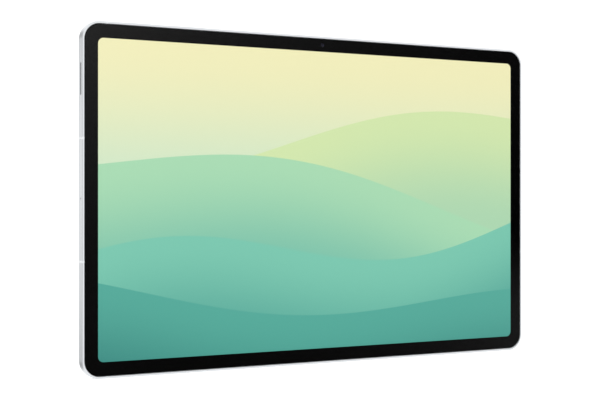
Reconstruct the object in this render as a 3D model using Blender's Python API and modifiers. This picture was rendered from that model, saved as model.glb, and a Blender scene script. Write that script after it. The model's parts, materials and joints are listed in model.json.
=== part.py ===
"""A thirteen-inch class tablet computer at full size, as an assembly of separate pieces.

Frame: +X to the right of someone facing the screen, +Y out through the back, +Z up.
The tablet stands upright on a long edge. The origin is the middle of that edge, at mid-thickness.
Lengths are metres. Each piece is laid out from the body's centre and parented to one empty there.
"""

import math

import bmesh
import bpy
from mathutils import Matrix, Vector

MM = 0.001
X, Y, Z = 0, 1, 2

# Driving dimensions of the body.
BODY_WIDTH = 300.6 * MM
BODY_HEIGHT = 194.7 * MM
BODY_DEPTH = 6.0 * MM
BODY_CORNER = 10.2 * MM
WALL = 1.15 * MM
FLOOR = 0.65 * MM
BACK_ROUND = 0.5 * MM
LIP_ROUND = 0.35 * MM
HALF_WIDTH, HALF_HEIGHT = BODY_WIDTH / 2, BODY_HEIGHT / 2
FRONT, BACK = -BODY_DEPTH / 2, BODY_DEPTH / 2
FLOOR_TOP = BACK - FLOOR

# Gaps: between stacked flat layers, round a piece set in an opening, and round a moving piece.
LAYER_GAP = 0.05 * MM
SET_GAP = 0.1 * MM
RUN_GAP = 0.15 * MM
PAST = 1.0 * MM  # how far a cutter runs past the face it enters
NEARLY = 0.998  # a full round end, short of the two arcs meeting in one edge

# Cover glass and picture area.
GLASS_DEPTH = 0.65 * MM
GLASS_WIDTH = BODY_WIDTH - 2 * (WALL + SET_GAP)
GLASS_HEIGHT = BODY_HEIGHT - 2 * (WALL + SET_GAP)
GLASS_CORNER = BODY_CORNER - WALL - SET_GAP
SCREEN_WIDTH = 282.8 * MM
SCREEN_HEIGHT = 176.8 * MM
SCREEN_CORNER = 3.2 * MM
GLASS_BACK = FRONT + GLASS_DEPTH
FILM_DEPTH = 0.06 * MM
SEAL_DEPTH = 0.2 * MM
LEDGE_WIDTH = 2.4 * MM
LEDGE_DEPTH = 0.8 * MM
FILM_BACK = GLASS_BACK + 0.02 * MM + FILM_DEPTH
SEAL_BACK = FILM_BACK + 0.02 * MM + SEAL_DEPTH
LEDGE_FRONT = SEAL_BACK + LAYER_GAP
LEDGE_BACK = LEDGE_FRONT + LEDGE_DEPTH

# The display module behind the glass: the picture area plus a border, deeper at the bottom.
PANEL_SIDE = 1.5 * MM
PANEL_TOP = 0.8 * MM
PANEL_BOTTOM = 3.5 * MM
PANEL_X = SCREEN_WIDTH / 2 + PANEL_SIDE
PANEL_Z = (-SCREEN_HEIGHT / 2 - PANEL_BOTTOM, SCREEN_HEIGHT / 2 + PANEL_TOP)
PANEL_FRONT = FILM_BACK + 0.04 * MM
PANEL_BACK = PANEL_FRONT + 0.8 * MM
PAN_FRONT = PANEL_BACK + LAYER_GAP
PAN_BACK = PAN_FRONT + 0.95 * MM
PAN_SHEET = 0.2 * MM
PAN_MARGIN = 0.4 * MM

# Antenna breaks: distance of the side bands from mid-height, and of the long-edge bands from mid-width.
BAND_WIDTH = 1.2 * MM
BAND_GAP = 0.03 * MM
SIDE_BAND_Z = 33.5 * MM
EDGE_BAND_X = 136.3 * MM
BAND_REACH = 3.1 * MM

# Openings in the rim are centred a little in front of mid-thickness.
PORT_LINE = -0.55 * MM
SLOT_LENGTH, SLOT_HEIGHT = 17.8 * MM, 1.2 * MM
SLOT_Z = 65.7 * MM
GRILLE_SHEET = 0.25 * MM
GRILLE_HOLES, GRILLE_HOLE_RADIUS = 14, 0.35 * MM
SPEAKER_X = (127.2 * MM, 148.8 * MM)
SPEAKER_Y = (-0.3 * MM, 2.2 * MM)
SPEAKER_Z = (46.0 * MM, 73.0 * MM)
NOSE_LENGTH, NOSE_BACK, NOSE_Z = 4.6 * MM, 1.0 * MM, (55.6 * MM, 75.2 * MM)
WELL_X, WELL_Z = (129.2 * MM, 142.2 * MM), (50.0 * MM, 72.0 * MM)
WELL_BOTTOM, WELL_CORNER = 1.7 * MM, 3.0 * MM
DUCT_Y, DUCT_HEIGHT, DUCT_Z = PORT_LINE + 0.25 * MM, 0.9 * MM, (57.0 * MM, 71.0 * MM)
CONE_GAP, CONE_Y, CONE_SHEET = 0.4 * MM, 0.45 * MM, 0.3 * MM
MIC_Z = 0.8 * MM
MIC_RADIUS = 0.5 * MM

# USB-C receptacle, middle of the right side.
USB_Y = 0.2 * MM
USB_WIDTH, USB_HEIGHT = 8.94 * MM, 3.16 * MM
USB_SHELL = 0.3 * MM
USB_DEPTH = 6.3 * MM

# Keys on the top edge.
KEY_Y = 0.1 * MM
KEY_HEIGHT = 2.4 * MM
KEY_PROUD = 0.35 * MM
POWER_X, POWER_LENGTH = -115.0 * MM, 13.0 * MM
VOLUME_X, VOLUME_LENGTH = -88.0 * MM, 24.0 * MM
FLANGE_TOP = HALF_HEIGHT - 1.6 * MM
FLANGE_DEPTH = 0.45 * MM
FLANGE_HEIGHT = 1.9 * MM
FLANGE_REACH = 0.7 * MM
POST_LENGTH = 0.25 * MM
POST_RADIUS = 0.8 * MM
SWITCH_TOP = FLANGE_TOP - FLANGE_DEPTH - POST_LENGTH - 0.35 * MM
SWITCH_DEPTH = 0.45 * MM
VOLUME_POST_X = 7.0 * MM

# Card tray on the top edge, with the socket and its eject linkage.
TRAY_X, TRAY_Y = -52.0 * MM, 0.05 * MM
BEZEL_LENGTH, BEZEL_HEIGHT, BEZEL_DEPTH = 27.0 * MM, 2.6 * MM, 1.05 * MM
FRAME_X = (TRAY_X - 9.9 * MM, TRAY_X + 12.2 * MM)
FRAME_Y = (0.05 * MM, 1.05 * MM)
TRAY_MARGIN, TRAY_RIB, TRAY_END = 0.6 * MM, 0.5 * MM, 0.8 * MM
SEAT_TOP = HALF_HEIGHT - BEZEL_DEPTH - 1.6 * MM
SMALL_CARD = (9.0 * MM, 12.5 * MM)
LARGE_CARD_LENGTH = 15.2 * MM
SEAT_FLOOR = 0.2 * MM
PIN_HOLE_RADIUS = 0.45 * MM
FRAME_BOTTOM = SEAT_TOP - LARGE_CARD_LENGTH - TRAY_END
ROD_X = (TRAY_X - 12.6 * MM, TRAY_X - 11.2 * MM)
LEVER_ARM = 6.4 * MM
LEVER_DEPTH = 1.0 * MM
PIVOT_X = (ROD_X[0] + ROD_X[1]) / 2 + LEVER_ARM
EJECT_STROKE = 1.2 * MM
PIVOT_Z = FRAME_BOTTOM - 2.2 * MM - EJECT_STROKE
PIVOT_RADIUS = 0.35 * MM
LINK_GAP = 0.35 * MM

# Cameras.
REAR_CAMERA = (-132.0 * MM, 82.0 * MM)
REAR_CAMERA_SIDE = 11.0 * MM
RING_RADIUS = 7.7 * MM
RING_PROUD = 0.95 * MM
RING_FLANGE_RADIUS = 8.5 * MM
RING_FLANGE_DEPTH = 0.3 * MM
WINDOW_RADIUS = 5.45 * MM
BARREL_RADIUS = 3.3 * MM
FRONT_CAMERA_Z = SCREEN_HEIGHT / 2 + (GLASS_HEIGHT - SCREEN_HEIGHT) / 4
FRONT_CAMERA_SIDE = 4.6 * MM

# Boards and battery, in the cavity between the display module and the floor.
BOARD_DEPTH = 0.6 * MM
BOARD_FRONT = 1.35 * MM
BOARD_BACK = BOARD_FRONT + BOARD_DEPTH
BOSS_RADIUS = 1.7 * MM
BOSS_TOP = BOARD_BACK + LAYER_GAP
CELL_Y = (-0.2 * MM, 2.2 * MM)
CELL_Z = (-76.0 * MM, 44.0 * MM)
CELL_LEFT_X, CELL_RIGHT_X = (-93.0 * MM, 11.0 * MM), (13.0 * MM, 117.0 * MM)
CELL_BOARD_X, CELL_BOARD_FRONT = (-30.0 * MM, 54.0 * MM), 1.0 * MM
BOARD_LEFT, BOARD_RIGHT, BOARD_TOP = -124.0 * MM, 14.0 * MM, 87.0 * MM
BOARD_STEP, BOARD_LEG_RIGHT, BOARD_LEG_BOTTOM = 52.0 * MM, -98.0 * MM, -62.0 * MM
SHIELD_SHEET, SHIELD_FRONT = 0.15 * MM, 0.05 * MM
SHIELDS = {
    "processor_shield": ((-27.0 * MM, 5.0 * MM), (57.0 * MM, 84.0 * MM)),
    "radio_shield": ((-118.0 * MM, -79.0 * MM), (56.0 * MM, 82.0 * MM)),
    "power_shield": ((-121.0 * MM, -101.0 * MM), (-6.0 * MM, 40.0 * MM)),
}
USB_BOARD_X, USB_BOARD_HALF = (118.5 * MM, HALF_WIDTH - 2.0 * MM), 24.0 * MM
FLEX_SHEET = 0.1 * MM
FLEX_Y = BOARD_FRONT - LAYER_GAP - FLEX_SHEET / 2

# Screws: where they stand (x, z) and the face their heads bear on.
SCREWS = {
    "screw_board_top": (-73.5 * MM, 84.2 * MM, BOARD_FRONT),
    "screw_board_side": (-121.4 * MM, 48.0 * MM, BOARD_FRONT),
    "screw_board_bottom": (-121.4 * MM, -58.5 * MM, BOARD_FRONT),
    "screw_usb_board": (122.0 * MM, -20.0 * MM, BOARD_FRONT),
    "screw_key_bracket_left": (-101.5 * MM, 90.6 * MM, 1.65 * MM),
    "screw_key_bracket_right": (-77.0 * MM, 90.6 * MM, 1.65 * MM),
}
SCREW_RADIUS = 0.6 * MM
SCREW_HOLE = 0.8 * MM
SCREW_HEAD_RADIUS, SCREW_HEAD_DEPTH = 1.3 * MM, 0.4 * MM
SCREW_TIP = 2.55 * MM

# Keyboard contacts in the bottom edge.
CONTACT_PITCH = 5.0 * MM
CONTACT_RADIUS = 0.9 * MM
CONTACT_LENGTH = 2.5 * MM
CONTACT_BLOCK_LENGTH, CONTACT_BLOCK_HEIGHT, CONTACT_BLOCK_DEPTH = 18.0 * MM, 2.2 * MM, 2.2 * MM
CONTACT_Y = -0.1 * MM
CONTACT_FLANGE_Y = (-1.05 * MM, 1.2 * MM)

# Colour, metallic and roughness of each material.
PALETTE = {
    "silver_aluminium": ((0.78, 0.79, 0.81), 1.0, 0.38),
    "antenna_plastic": ((0.90, 0.91, 0.92), 0.0, 0.45),
    "cover_glass": ((0.02, 0.02, 0.02), 0.0, 0.05),
    "border_ink": ((0.01, 0.01, 0.01), 0.0, 0.4),
    "seal_foam": ((0.05, 0.05, 0.05), 0.0, 0.8),
    "display_panel": ((0.45, 0.75, 0.62), 0.0, 0.2),
    "white_film": ((0.9, 0.9, 0.9), 0.0, 0.5),
    "light_guide": ((0.85, 0.88, 0.9), 0.0, 0.1),
    "stamped_steel": ((0.6, 0.61, 0.62), 1.0, 0.35),
    "battery_foil": ((0.12, 0.12, 0.13), 0.3, 0.45),
    "circuit_board": ((0.02, 0.10, 0.07), 0.0, 0.45),
    "flex_film": ((0.45, 0.25, 0.06), 0.0, 0.4),
    "black_plastic": ((0.03, 0.03, 0.03), 0.0, 0.5),
    "speaker_mesh": ((0.25, 0.27, 0.28), 1.0, 0.4),
    "speaker_cone": ((0.08, 0.08, 0.09), 0.0, 0.5),
    "lens_glass": ((0.02, 0.02, 0.04), 0.0, 0.05),
    "sensor_coating": ((0.55, 0.56, 0.58), 0.6, 0.3),
    "gold_contact": ((0.83, 0.62, 0.25), 1.0, 0.25),
    "tray_rubber": ((0.05, 0.05, 0.06), 0.0, 0.8),
}

parts = None
helpers = None
centre = None


def start():
    """Empties the scene and makes the two collections and the empty at the body's centre."""
    global parts, helpers, centre
    for obj in list(bpy.data.objects):
        bpy.data.objects.remove(obj)
    parts = bpy.data.collections.new("tablet_computer")
    helpers = bpy.data.collections.new("cutters")
    for collection in (parts, helpers):
        bpy.context.scene.collection.children.link(collection)
    centre = pivot("tablet_centre", (0, 0, HALF_HEIGHT), None)


def pivot(name, at, parent):
    empty = bpy.data.objects.new(name, None)
    parts.objects.link(empty)
    empty.parent = parent
    empty.location = at
    return empty


def material(name):
    """The palette's material of this name, made the first time that it is asked for."""
    found = bpy.data.materials.get(name)
    if found:
        return found
    made = bpy.data.materials.new(name)
    made.use_nodes = True
    shader = made.node_tree.nodes["Principled BSDF"]
    colour, metallic, roughness = PALETTE[name]
    shader.inputs["Base Color"].default_value = (*colour, 1.0)
    shader.inputs["Metallic"].default_value = metallic
    shader.inputs["Roughness"].default_value = roughness
    return made


def place(name, bm, at, finish, turn=(0, 0, 0), parent=None):
    """Turns a bmesh into an object at a point of the body. With no finish it is a hidden cutter."""
    mesh = bpy.data.meshes.new(name)
    bmesh.ops.recalc_face_normals(bm, faces=bm.faces)
    bm.to_mesh(mesh)
    bm.free()
    return add(name, mesh, at, finish, turn, parent)


def add(name, data, at, finish, turn=(0, 0, 0), parent=None):
    obj = bpy.data.objects.new(name, data)
    obj.parent = parent or centre
    obj.location = at
    obj.rotation_euler = turn
    if finish is None:
        hide(obj)
        return obj
    parts.objects.link(obj)
    data.materials.append(material(finish))
    if obj.type == "MESH":
        data.shade_smooth()
        data.set_sharp_from_angle(angle=math.radians(35))
    return obj


def hide(obj):
    helpers.objects.link(obj)
    obj.hide_render = True
    obj.display_type = "WIRE"


def box_mesh(size, rounded=None, radius=0.0, steps=4):
    """A box about its own centre. The four edges along the axis rounded get the radius."""
    bm = bmesh.new()
    bmesh.ops.create_cube(bm, size=1.0, matrix=Matrix.Diagonal((*size, 1.0)))
    if rounded is not None:
        along = [e for e in bm.edges if edge_axis(e) == rounded]
        round_off(bm, along, radius, steps)
    return bm


def edge_axis(edge):
    run = edge.verts[1].co - edge.verts[0].co
    return max((X, Y, Z), key=lambda axis: abs(run[axis]))


def round_off(bm, edges, radius, steps):
    bmesh.ops.bevel(
        bm, geom=edges, offset=radius, offset_type="OFFSET", segments=steps, profile=0.5, affect="EDGES"
    )


def round_rim(bm, level, radius, steps, axis=Y):
    """Rounds the edges that border the flat face at this level along the axis."""
    rim = [e for e in bm.edges if all(abs(v.co[axis] - level) < 1e-7 for v in e.verts)]
    round_off(bm, rim, radius, steps)


def block(name, x, y, z, finish, rounded=None, radius=0.0, steps=4, parent=None, about=(0, 0, 0)):
    """A box between pairs of limits, in the body's axes. Its origin is its middle.

    With a parent, the limits stay in the body's axes, and about is the parent's place there."""
    low, high = Vector((x[0], y[0], z[0])), Vector((x[1], y[1], z[1]))
    bm = box_mesh(high - low, rounded, radius, steps)
    return place(name, bm, (low + high) / 2 - Vector(about), finish, parent=parent)


def around(middle, length):
    """The pair of limits of a length about its middle."""
    return (middle - length / 2, middle + length / 2)


def cylinder(name, at, along, radius, length, finish, steps=16, top_radius=None, parent=None):
    """A cylinder, or a cone with a top radius, centred on a point and running along an axis."""
    bm = bmesh.new()
    bmesh.ops.create_cone(
        bm, cap_ends=True, segments=steps, radius1=radius,
        radius2=radius if top_radius is None else top_radius, depth=length,
    )
    turns = {X: (0, math.pi / 2, 0), Y: (-math.pi / 2, 0, 0), Z: (0, 0, 0)}
    return place(name, bm, at, finish, turns[along], parent)


def turned(name, profile, at, finish, steps):
    """A ring turned about Y from a closed profile of (radius, y) points, down its outer side first."""
    bm = bmesh.new()
    corners = [bm.verts.new((radius, 0, height)) for radius, height in profile]
    for first, second in zip(corners, corners[1:] + corners[:1]):
        bm.edges.new((first, second))
    mesh = bpy.data.meshes.new(name)
    bm.to_mesh(mesh)
    bm.free()
    obj = add(name, mesh, at, finish, (-math.pi / 2, 0, 0))
    screw = obj.modifiers.new("turn", "SCREW")
    screw.steps = screw.render_steps = steps
    screw.use_merge_vertices = True
    screw.merge_threshold = 1e-6
    return obj


def strip(name, path, x, finish, thickness=FLEX_SHEET):
    """A bent sheet: a path of (y, z) points swept between two x limits and thickened about its middle."""
    bm = bmesh.new()
    corners = [bm.verts.new((x[0], y, z)) for y, z in path]
    edges = [bm.edges.new(pair) for pair in zip(corners, corners[1:])]
    swept = bmesh.ops.extrude_edge_only(bm, edges=edges)["geom"]
    moved = [v for v in swept if isinstance(v, bmesh.types.BMVert)]
    bmesh.ops.translate(bm, verts=moved, vec=(x[1] - x[0], 0, 0))
    obj = place(name, bm, (0, 0, 0), finish)
    thicken = obj.modifiers.new("thickness", "SOLIDIFY")
    thicken.thickness = thickness
    thicken.offset = 0
    thicken.use_even_offset = True
    return obj


def flat_outline(name, outline, middle, thickness, finish):
    """A flat sheet facing Y, cut to a closed outline of (x, z) corners."""
    curve = bpy.data.curves.new(name, "CURVE")
    curve.dimensions = "2D"
    curve.fill_mode = "BOTH"
    curve.extrude = thickness / 2
    spline = curve.splines.new("POLY")
    spline.points.add(len(outline) - 1)
    for point, (x, z) in zip(spline.points, outline):
        point.co = (x, z, 0, 1)
    spline.use_cyclic_u = True
    return add(name, curve, (0, middle, 0), finish, (math.pi / 2, 0, 0))


def as_mesh(obj):
    """Makes a curve object a mesh object of the same name and place, with its caps welded."""
    graph = bpy.context.evaluated_depsgraph_get()
    mesh = bpy.data.meshes.new_from_object(obj.evaluated_get(graph))
    bm = bmesh.new()
    bm.from_mesh(mesh)
    bmesh.ops.remove_doubles(bm, verts=bm.verts, dist=1e-7)
    bm.to_mesh(mesh)
    bm.free()
    bpy.context.view_layer.update()
    name, matrix, finish = obj.name, obj.matrix_world.copy(), obj.data.materials[0]
    bpy.data.objects.remove(obj)
    made = bpy.data.objects.new(name, mesh)
    parts.objects.link(made)
    made.parent = centre
    made.matrix_world = matrix
    if not mesh.materials:
        mesh.materials.append(finish)
    return made


def boolean(target, operation, tools):
    """One exact Boolean of the target with every tool, which is hidden as a cutter."""
    group = bpy.data.collections.new(f"{target.name}_{operation.lower()}")
    helpers.children.link(group)
    group.hide_render = True
    for tool in tools:
        group.objects.link(tool)
        helpers.objects.unlink(tool)
    modifier = target.modifiers.new(operation.lower(), "BOOLEAN")
    modifier.operation = operation
    modifier.operand_type = "COLLECTION"
    modifier.collection = group
    modifier.solver = "EXACT"


def cut(target, *tools):
    boolean(target, "DIFFERENCE", tools)


def join(target, *tools):
    boolean(target, "UNION", tools)


def mirrored_name(name, side):
    return name.format("right" if side > 0 else "left")


# The case.


def outer_form(name, finish):
    """The body's outside as one solid: a rounded slab, softened at the back and at the front lip."""
    bm = box_mesh((BODY_WIDTH, BODY_DEPTH, BODY_HEIGHT), Y, BODY_CORNER, 8)
    round_rim(bm, BACK, BACK_ROUND, 3)
    round_rim(bm, FRONT, LIP_ROUND, 2)
    return place(name, bm, (0, 0, 0), finish)


def rounded_plate(name, half_x, z, y, corner, finish, steps=8):
    """A plate facing Y, as wide as half_x each side, with rounded corners."""
    return block(name, (-half_x, half_x), y, z, finish, Y, corner, steps)


def band_places():
    """Centre (x, z) and outward direction of the eight antenna breaks."""
    for side in (-1, 1):
        for high in (-1, 1):
            yield (side * HALF_WIDTH, high * SIDE_BAND_Z), (side, 0)
            yield (side * EDGE_BAND_X, high * HALF_HEIGHT), (0, high)


def band_box(name, place_, outward, inner, y, width):
    """A box across the rim at one antenna break, from a distance inside the outer face to past it."""
    limits = []
    for middle, out in zip(place_, outward):
        if out == 0:
            limits.append(around(middle, width))
        else:
            limits.append(tuple(sorted((middle - out * inner, middle + out * PAST))))
    return block(name, limits[0], y, limits[1], None)


def make_rear_housing():
    housing = outer_form("rear_housing", "silver_aluminium")
    inner_x, inner_z = HALF_WIDTH - WALL, HALF_HEIGHT - WALL
    cavity = rounded_plate(
        "housing_cavity", inner_x, (-inner_z, inner_z), (FRONT - PAST, FLOOR_TOP), BODY_CORNER - WALL, None
    )
    cut(housing, cavity)
    bosses = [
        cylinder(f"boss_{name}", (x, (BOSS_TOP + FLOOR_TOP + 0.2 * MM) / 2, z), Y, BOSS_RADIUS,
                 FLOOR_TOP + 0.2 * MM - BOSS_TOP, None, 10)
        for name, (x, z, _) in SCREWS.items()
    ]
    join(housing, *bosses)
    tools = [
        band_box(f"band_slot_{i}", at, out, BAND_REACH, (FRONT - PAST, BACK + PAST), BAND_WIDTH)
        for i, (at, out) in enumerate(band_places())
    ]
    tools += [
        cylinder(f"boss_hole_{name}", (x, SCREW_TIP + SET_GAP - PAST, z), Y, SCREW_HOLE, 2 * PAST, None, 10)
        for name, (x, z, _) in SCREWS.items()
    ]
    tools += speaker_openings()
    tools += key_openings()
    tools += [
        cylinder("mic_hole", (-HALF_WIDTH, PORT_LINE, MIC_Z), X, MIC_RADIUS, 4 * MM, None, 12),
        block("usb_hole", (HALF_WIDTH - 2 * WALL, HALF_WIDTH + PAST),
              around(USB_Y, USB_HEIGHT + 2 * SET_GAP), around(0, USB_WIDTH + 2 * SET_GAP), None,
              X, USB_HEIGHT / 2, 6),
        cylinder("camera_hole", (REAR_CAMERA[0], BACK, REAR_CAMERA[1]), Y, RING_RADIUS + SET_GAP,
                 4 * FLOOR, None, 32),
        block("contact_hole", around(0, CONTACT_BLOCK_LENGTH + 2 * SET_GAP),
              around(CONTACT_Y, CONTACT_BLOCK_HEIGHT + 2 * SET_GAP),
              (-HALF_HEIGHT - PAST, -HALF_HEIGHT + 2 * WALL), None, Z, CONTACT_BLOCK_HEIGHT / 2, 4),
        block("tray_hole", around(TRAY_X, BEZEL_LENGTH + 2 * SET_GAP),
              around(TRAY_Y, BEZEL_HEIGHT + 2 * SET_GAP),
              (HALF_HEIGHT - 2 * WALL, HALF_HEIGHT + PAST), None, Z, BEZEL_HEIGHT / 2, 4),
    ]
    cut(housing, *tools)


def speaker_openings():
    """Each side's slot through the wall, and the wider rebate inside it that holds the grille."""
    tools = []
    for side in (-1, 1):
        wall = sorted((side * (HALF_WIDTH - 2 * WALL), side * (HALF_WIDTH + PAST)))
        inside = sorted((side * (HALF_WIDTH - 2 * WALL), side * (HALF_WIDTH - 0.6 * WALL)))
        tools.append(block(mirrored_name("speaker_slot_{}", side), wall, around(PORT_LINE, SLOT_HEIGHT),
                           around(SLOT_Z, SLOT_LENGTH), None, X, SLOT_HEIGHT / 2 * NEARLY, 4))
        tools.append(block(mirrored_name("grille_rebate_{}", side), inside,
                           around(PORT_LINE, SLOT_HEIGHT + 0.4 * MM),
                           around(SLOT_Z, SLOT_LENGTH + 1.0 * MM), None))
    return tools


def key_openings():
    return [
        block(f"{name}_hole", around(x, length + 2 * RUN_GAP), around(KEY_Y, KEY_HEIGHT + 2 * RUN_GAP),
              (HALF_HEIGHT - 2 * WALL, HALF_HEIGHT + PAST), None, Z, KEY_HEIGHT / 2, 4)
        for name, x, length in (("power", POWER_X, POWER_LENGTH), ("volume", VOLUME_X, VOLUME_LENGTH))
    ]


def make_antenna_frame():
    """The moulded inner frame: the ledge that the glass is glued to, and the bands that fill the breaks."""
    edge = WALL + LAYER_GAP
    half_x, half_z = HALF_WIDTH - edge, HALF_HEIGHT - edge
    frame = rounded_plate("antenna_frame", half_x, (-half_z, half_z), (LEDGE_FRONT, LEDGE_BACK),
                          BODY_CORNER - edge, "antenna_plastic")
    inner_x, inner_z = half_x - LEDGE_WIDTH, half_z - LEDGE_WIDTH
    cut(frame,
        rounded_plate("frame_window", inner_x, (-inner_z, inner_z), (LEDGE_FRONT - PAST, LEDGE_BACK + PAST),
                      BODY_CORNER - edge - LEDGE_WIDTH, None),
        front_camera_notch("frame_notch"))
    fingers = []
    for i, (at, out) in enumerate(band_places()):
        width = BAND_WIDTH - 2 * BAND_GAP
        fingers.append(band_box(f"band_post_{i}", at, out, BAND_REACH - BAND_GAP,
                                (LEDGE_FRONT, BACK + PAST), width))
        fingers.append(band_box(f"band_lip_{i}", at, out, WALL + BAND_GAP,
                                (FRONT - PAST, LEDGE_FRONT + 0.2 * MM), width))
    join(frame, *fingers)
    boolean(frame, "INTERSECT", [outer_form("frame_limit", None)])
    cut(frame, block("usb_notch", (HALF_WIDTH - 8 * MM, HALF_WIDTH), (USB_Y - USB_HEIGHT / 2 - RUN_GAP, 0),
                     around(0, USB_WIDTH + 2 * MM), None))


def front_camera_notch(name):
    reach = FRONT_CAMERA_SIDE / 2 + 0.5 * MM
    return block(name, (-reach, reach), (FRONT, LEDGE_BACK + PAST),
                 (FRONT_CAMERA_Z - reach, FRONT_CAMERA_Z + reach), None)


# The display.


def make_display():
    half_x, half_z = GLASS_WIDTH / 2, GLASS_HEIGHT / 2
    bm = box_mesh((GLASS_WIDTH, GLASS_DEPTH, GLASS_HEIGHT), Y, GLASS_CORNER, 8)
    round_rim(bm, -GLASS_DEPTH / 2, 0.12 * MM, 1)
    place("cover_glass", bm, (0, (FRONT + GLASS_BACK) / 2, 0), "cover_glass")

    film = rounded_plate("border_film", half_x - 0.2 * MM, (-half_z + 0.2 * MM, half_z - 0.2 * MM),
                         (FILM_BACK - FILM_DEPTH, FILM_BACK), GLASS_CORNER - 0.2 * MM, "border_ink")
    cut(film,
        rounded_plate("picture_window", SCREEN_WIDTH / 2, (-SCREEN_HEIGHT / 2, SCREEN_HEIGHT / 2),
                      (FRONT, LEDGE_BACK), SCREEN_CORNER, None),
        cylinder("camera_window", (0, GLASS_BACK, FRONT_CAMERA_Z), Y, 1.3 * MM, 2 * MM, None, 16))

    seal = rounded_plate("display_seal", half_x - 0.4 * MM, (-half_z + 0.4 * MM, half_z - 0.4 * MM),
                         (SEAL_BACK - SEAL_DEPTH, SEAL_BACK), GLASS_CORNER - 0.4 * MM, "seal_foam")
    inset = 0.2 * MM + LEDGE_WIDTH
    cut(seal,
        rounded_plate("seal_window", half_x - inset, (-half_z + inset, half_z - inset),
                      (FRONT, LEDGE_BACK), GLASS_CORNER - inset, None),
        front_camera_notch("seal_notch"))

    block("lcd_panel", (-PANEL_X, PANEL_X), (PANEL_FRONT, PANEL_BACK), PANEL_Z, "display_panel")
    make_backlight()


def make_backlight():
    """A steel pan that holds the diffuser films, the light guide and the row of lights that feeds it."""
    out_x = PANEL_X + PAN_MARGIN
    out_z = (PANEL_Z[0] - PAN_MARGIN, PANEL_Z[1] + PAN_MARGIN)
    pan = block("backlight_pan", (-out_x, out_x), (PAN_FRONT, PAN_BACK), out_z, "stamped_steel")
    in_x, in_z = out_x - PAN_SHEET, (out_z[0] + PAN_SHEET, out_z[1] - PAN_SHEET)
    cut(pan, block("pan_pocket", (-in_x, in_x), (PAN_FRONT - PAST, PAN_BACK - PAN_SHEET), in_z, None))
    film_x, film_z = in_x - 0.3 * MM, (in_z[0] + 0.3 * MM, in_z[1] - 0.3 * MM)
    film_back = PAN_FRONT + 0.22 * MM
    block("diffuser_film", (-film_x, film_x), (film_back - 0.2 * MM, film_back), film_z, "white_film")
    guide_y = (film_back + LAYER_GAP, PAN_BACK - PAN_SHEET - LAYER_GAP)
    light_top = film_z[0] + 1.6 * MM
    block("light_guide", (-film_x, film_x), guide_y, (light_top + 0.2 * MM, film_z[1]), "light_guide")
    bar = block("backlight_led_bar", (-film_x, film_x), guide_y, (film_z[0], film_z[0] + 0.8 * MM),
                "white_film")
    count = 12
    pitch = 2 * film_x / count
    join(bar, *[
        block(f"led_{i}", around((i + 0.5) * pitch - film_x, 3.0 * MM), guide_y,
              (film_z[0] + 0.4 * MM, light_top), None)
        for i in range(count)
    ])


# Battery and boards.


def make_battery():
    block("battery_cell_left", CELL_LEFT_X, CELL_Y, CELL_Z, "battery_foil", Z, 0.6 * MM, 2)
    block("battery_cell_right", CELL_RIGHT_X, CELL_Y, CELL_Z, "battery_foil", Z, 0.6 * MM, 2)
    top = CELL_Z[1] + 1 * MM
    block("battery_board", CELL_BOARD_X, (CELL_BOARD_FRONT, CELL_BOARD_FRONT + 0.5 * MM),
          (top, top + 5 * MM), "circuit_board")
    lead = CELL_BOARD_FRONT - LAYER_GAP - FLEX_SHEET / 2
    strip("battery_flex", [(lead, top + 1 * MM), (lead, top + 5.3 * MM), (FLEX_Y, top + 7.6 * MM),
                           (FLEX_Y, top + 12 * MM)], (-10 * MM, 4 * MM), "flex_film")


def make_boards():
    outline = [(BOARD_LEFT, BOARD_LEG_BOTTOM), (BOARD_LEG_RIGHT, BOARD_LEG_BOTTOM),
               (BOARD_LEG_RIGHT, BOARD_STEP), (BOARD_RIGHT, BOARD_STEP), (BOARD_RIGHT, BOARD_TOP),
               (BOARD_LEFT, BOARD_TOP)]
    board = as_mesh(flat_outline("main_board", outline, (BOARD_FRONT + BOARD_BACK) / 2, BOARD_DEPTH,
                                 "circuit_board"))
    cut(board, *screw_holes("board"))
    for name, (x, z) in SHIELDS.items():
        shield(name, x, z)

    usb = block("usb_board", USB_BOARD_X, (BOARD_FRONT, BOARD_BACK), (-USB_BOARD_HALF, USB_BOARD_HALF),
                "circuit_board")
    cut(usb,
        block("usb_board_notch", (HALF_WIDTH - USB_DEPTH - 0.5 * MM, HALF_WIDTH), (FRONT, BACK),
              around(0, USB_WIDTH + 0.6 * MM), None),
        *screw_holes("usb"))
    ribbon = [(6, 62), (118.6, 62), (118.6, 15), (126.2, 15), (126.2, 70), (6, 70)]
    flat_outline("usb_flex", [(x * MM, z * MM) for x, z in ribbon], FLEX_Y, FLEX_SHEET, "flex_film")
    reach = -PAN_BACK - 0.12 * MM
    strip("display_flex", [(-1.9 * MM, -92.75 * MM), (-reach, -92.75 * MM), (-reach, 49 * MM),
                           (FLEX_Y, 53 * MM), (FLEX_Y, 58 * MM)], (-71 * MM, -53 * MM), "flex_film")


def screw_holes(kind):
    return [
        cylinder(f"hole_{name}", (x, BOARD_FRONT, z), Y, SCREW_HOLE, 4 * MM, None, 10)
        for name, (x, z, _) in SCREWS.items()
        if name.startswith(f"screw_{kind}")
    ]


def shield(name, x, z):
    """A stamped can over the chips, open towards the board that it stands on."""
    y = (SHIELD_FRONT, BOARD_FRONT - LAYER_GAP)
    corner = 1.0 * MM
    can = block(name, x, y, z, "stamped_steel", Y, corner, 2)
    inside = [(low + SHIELD_SHEET, high - SHIELD_SHEET) for low, high in (x, z)]
    cut(can, block(f"{name}_inside", inside[0], (y[0] + SHIELD_SHEET, y[1] + PAST), inside[1], None, Y,
                   corner - SHIELD_SHEET, 2))


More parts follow.
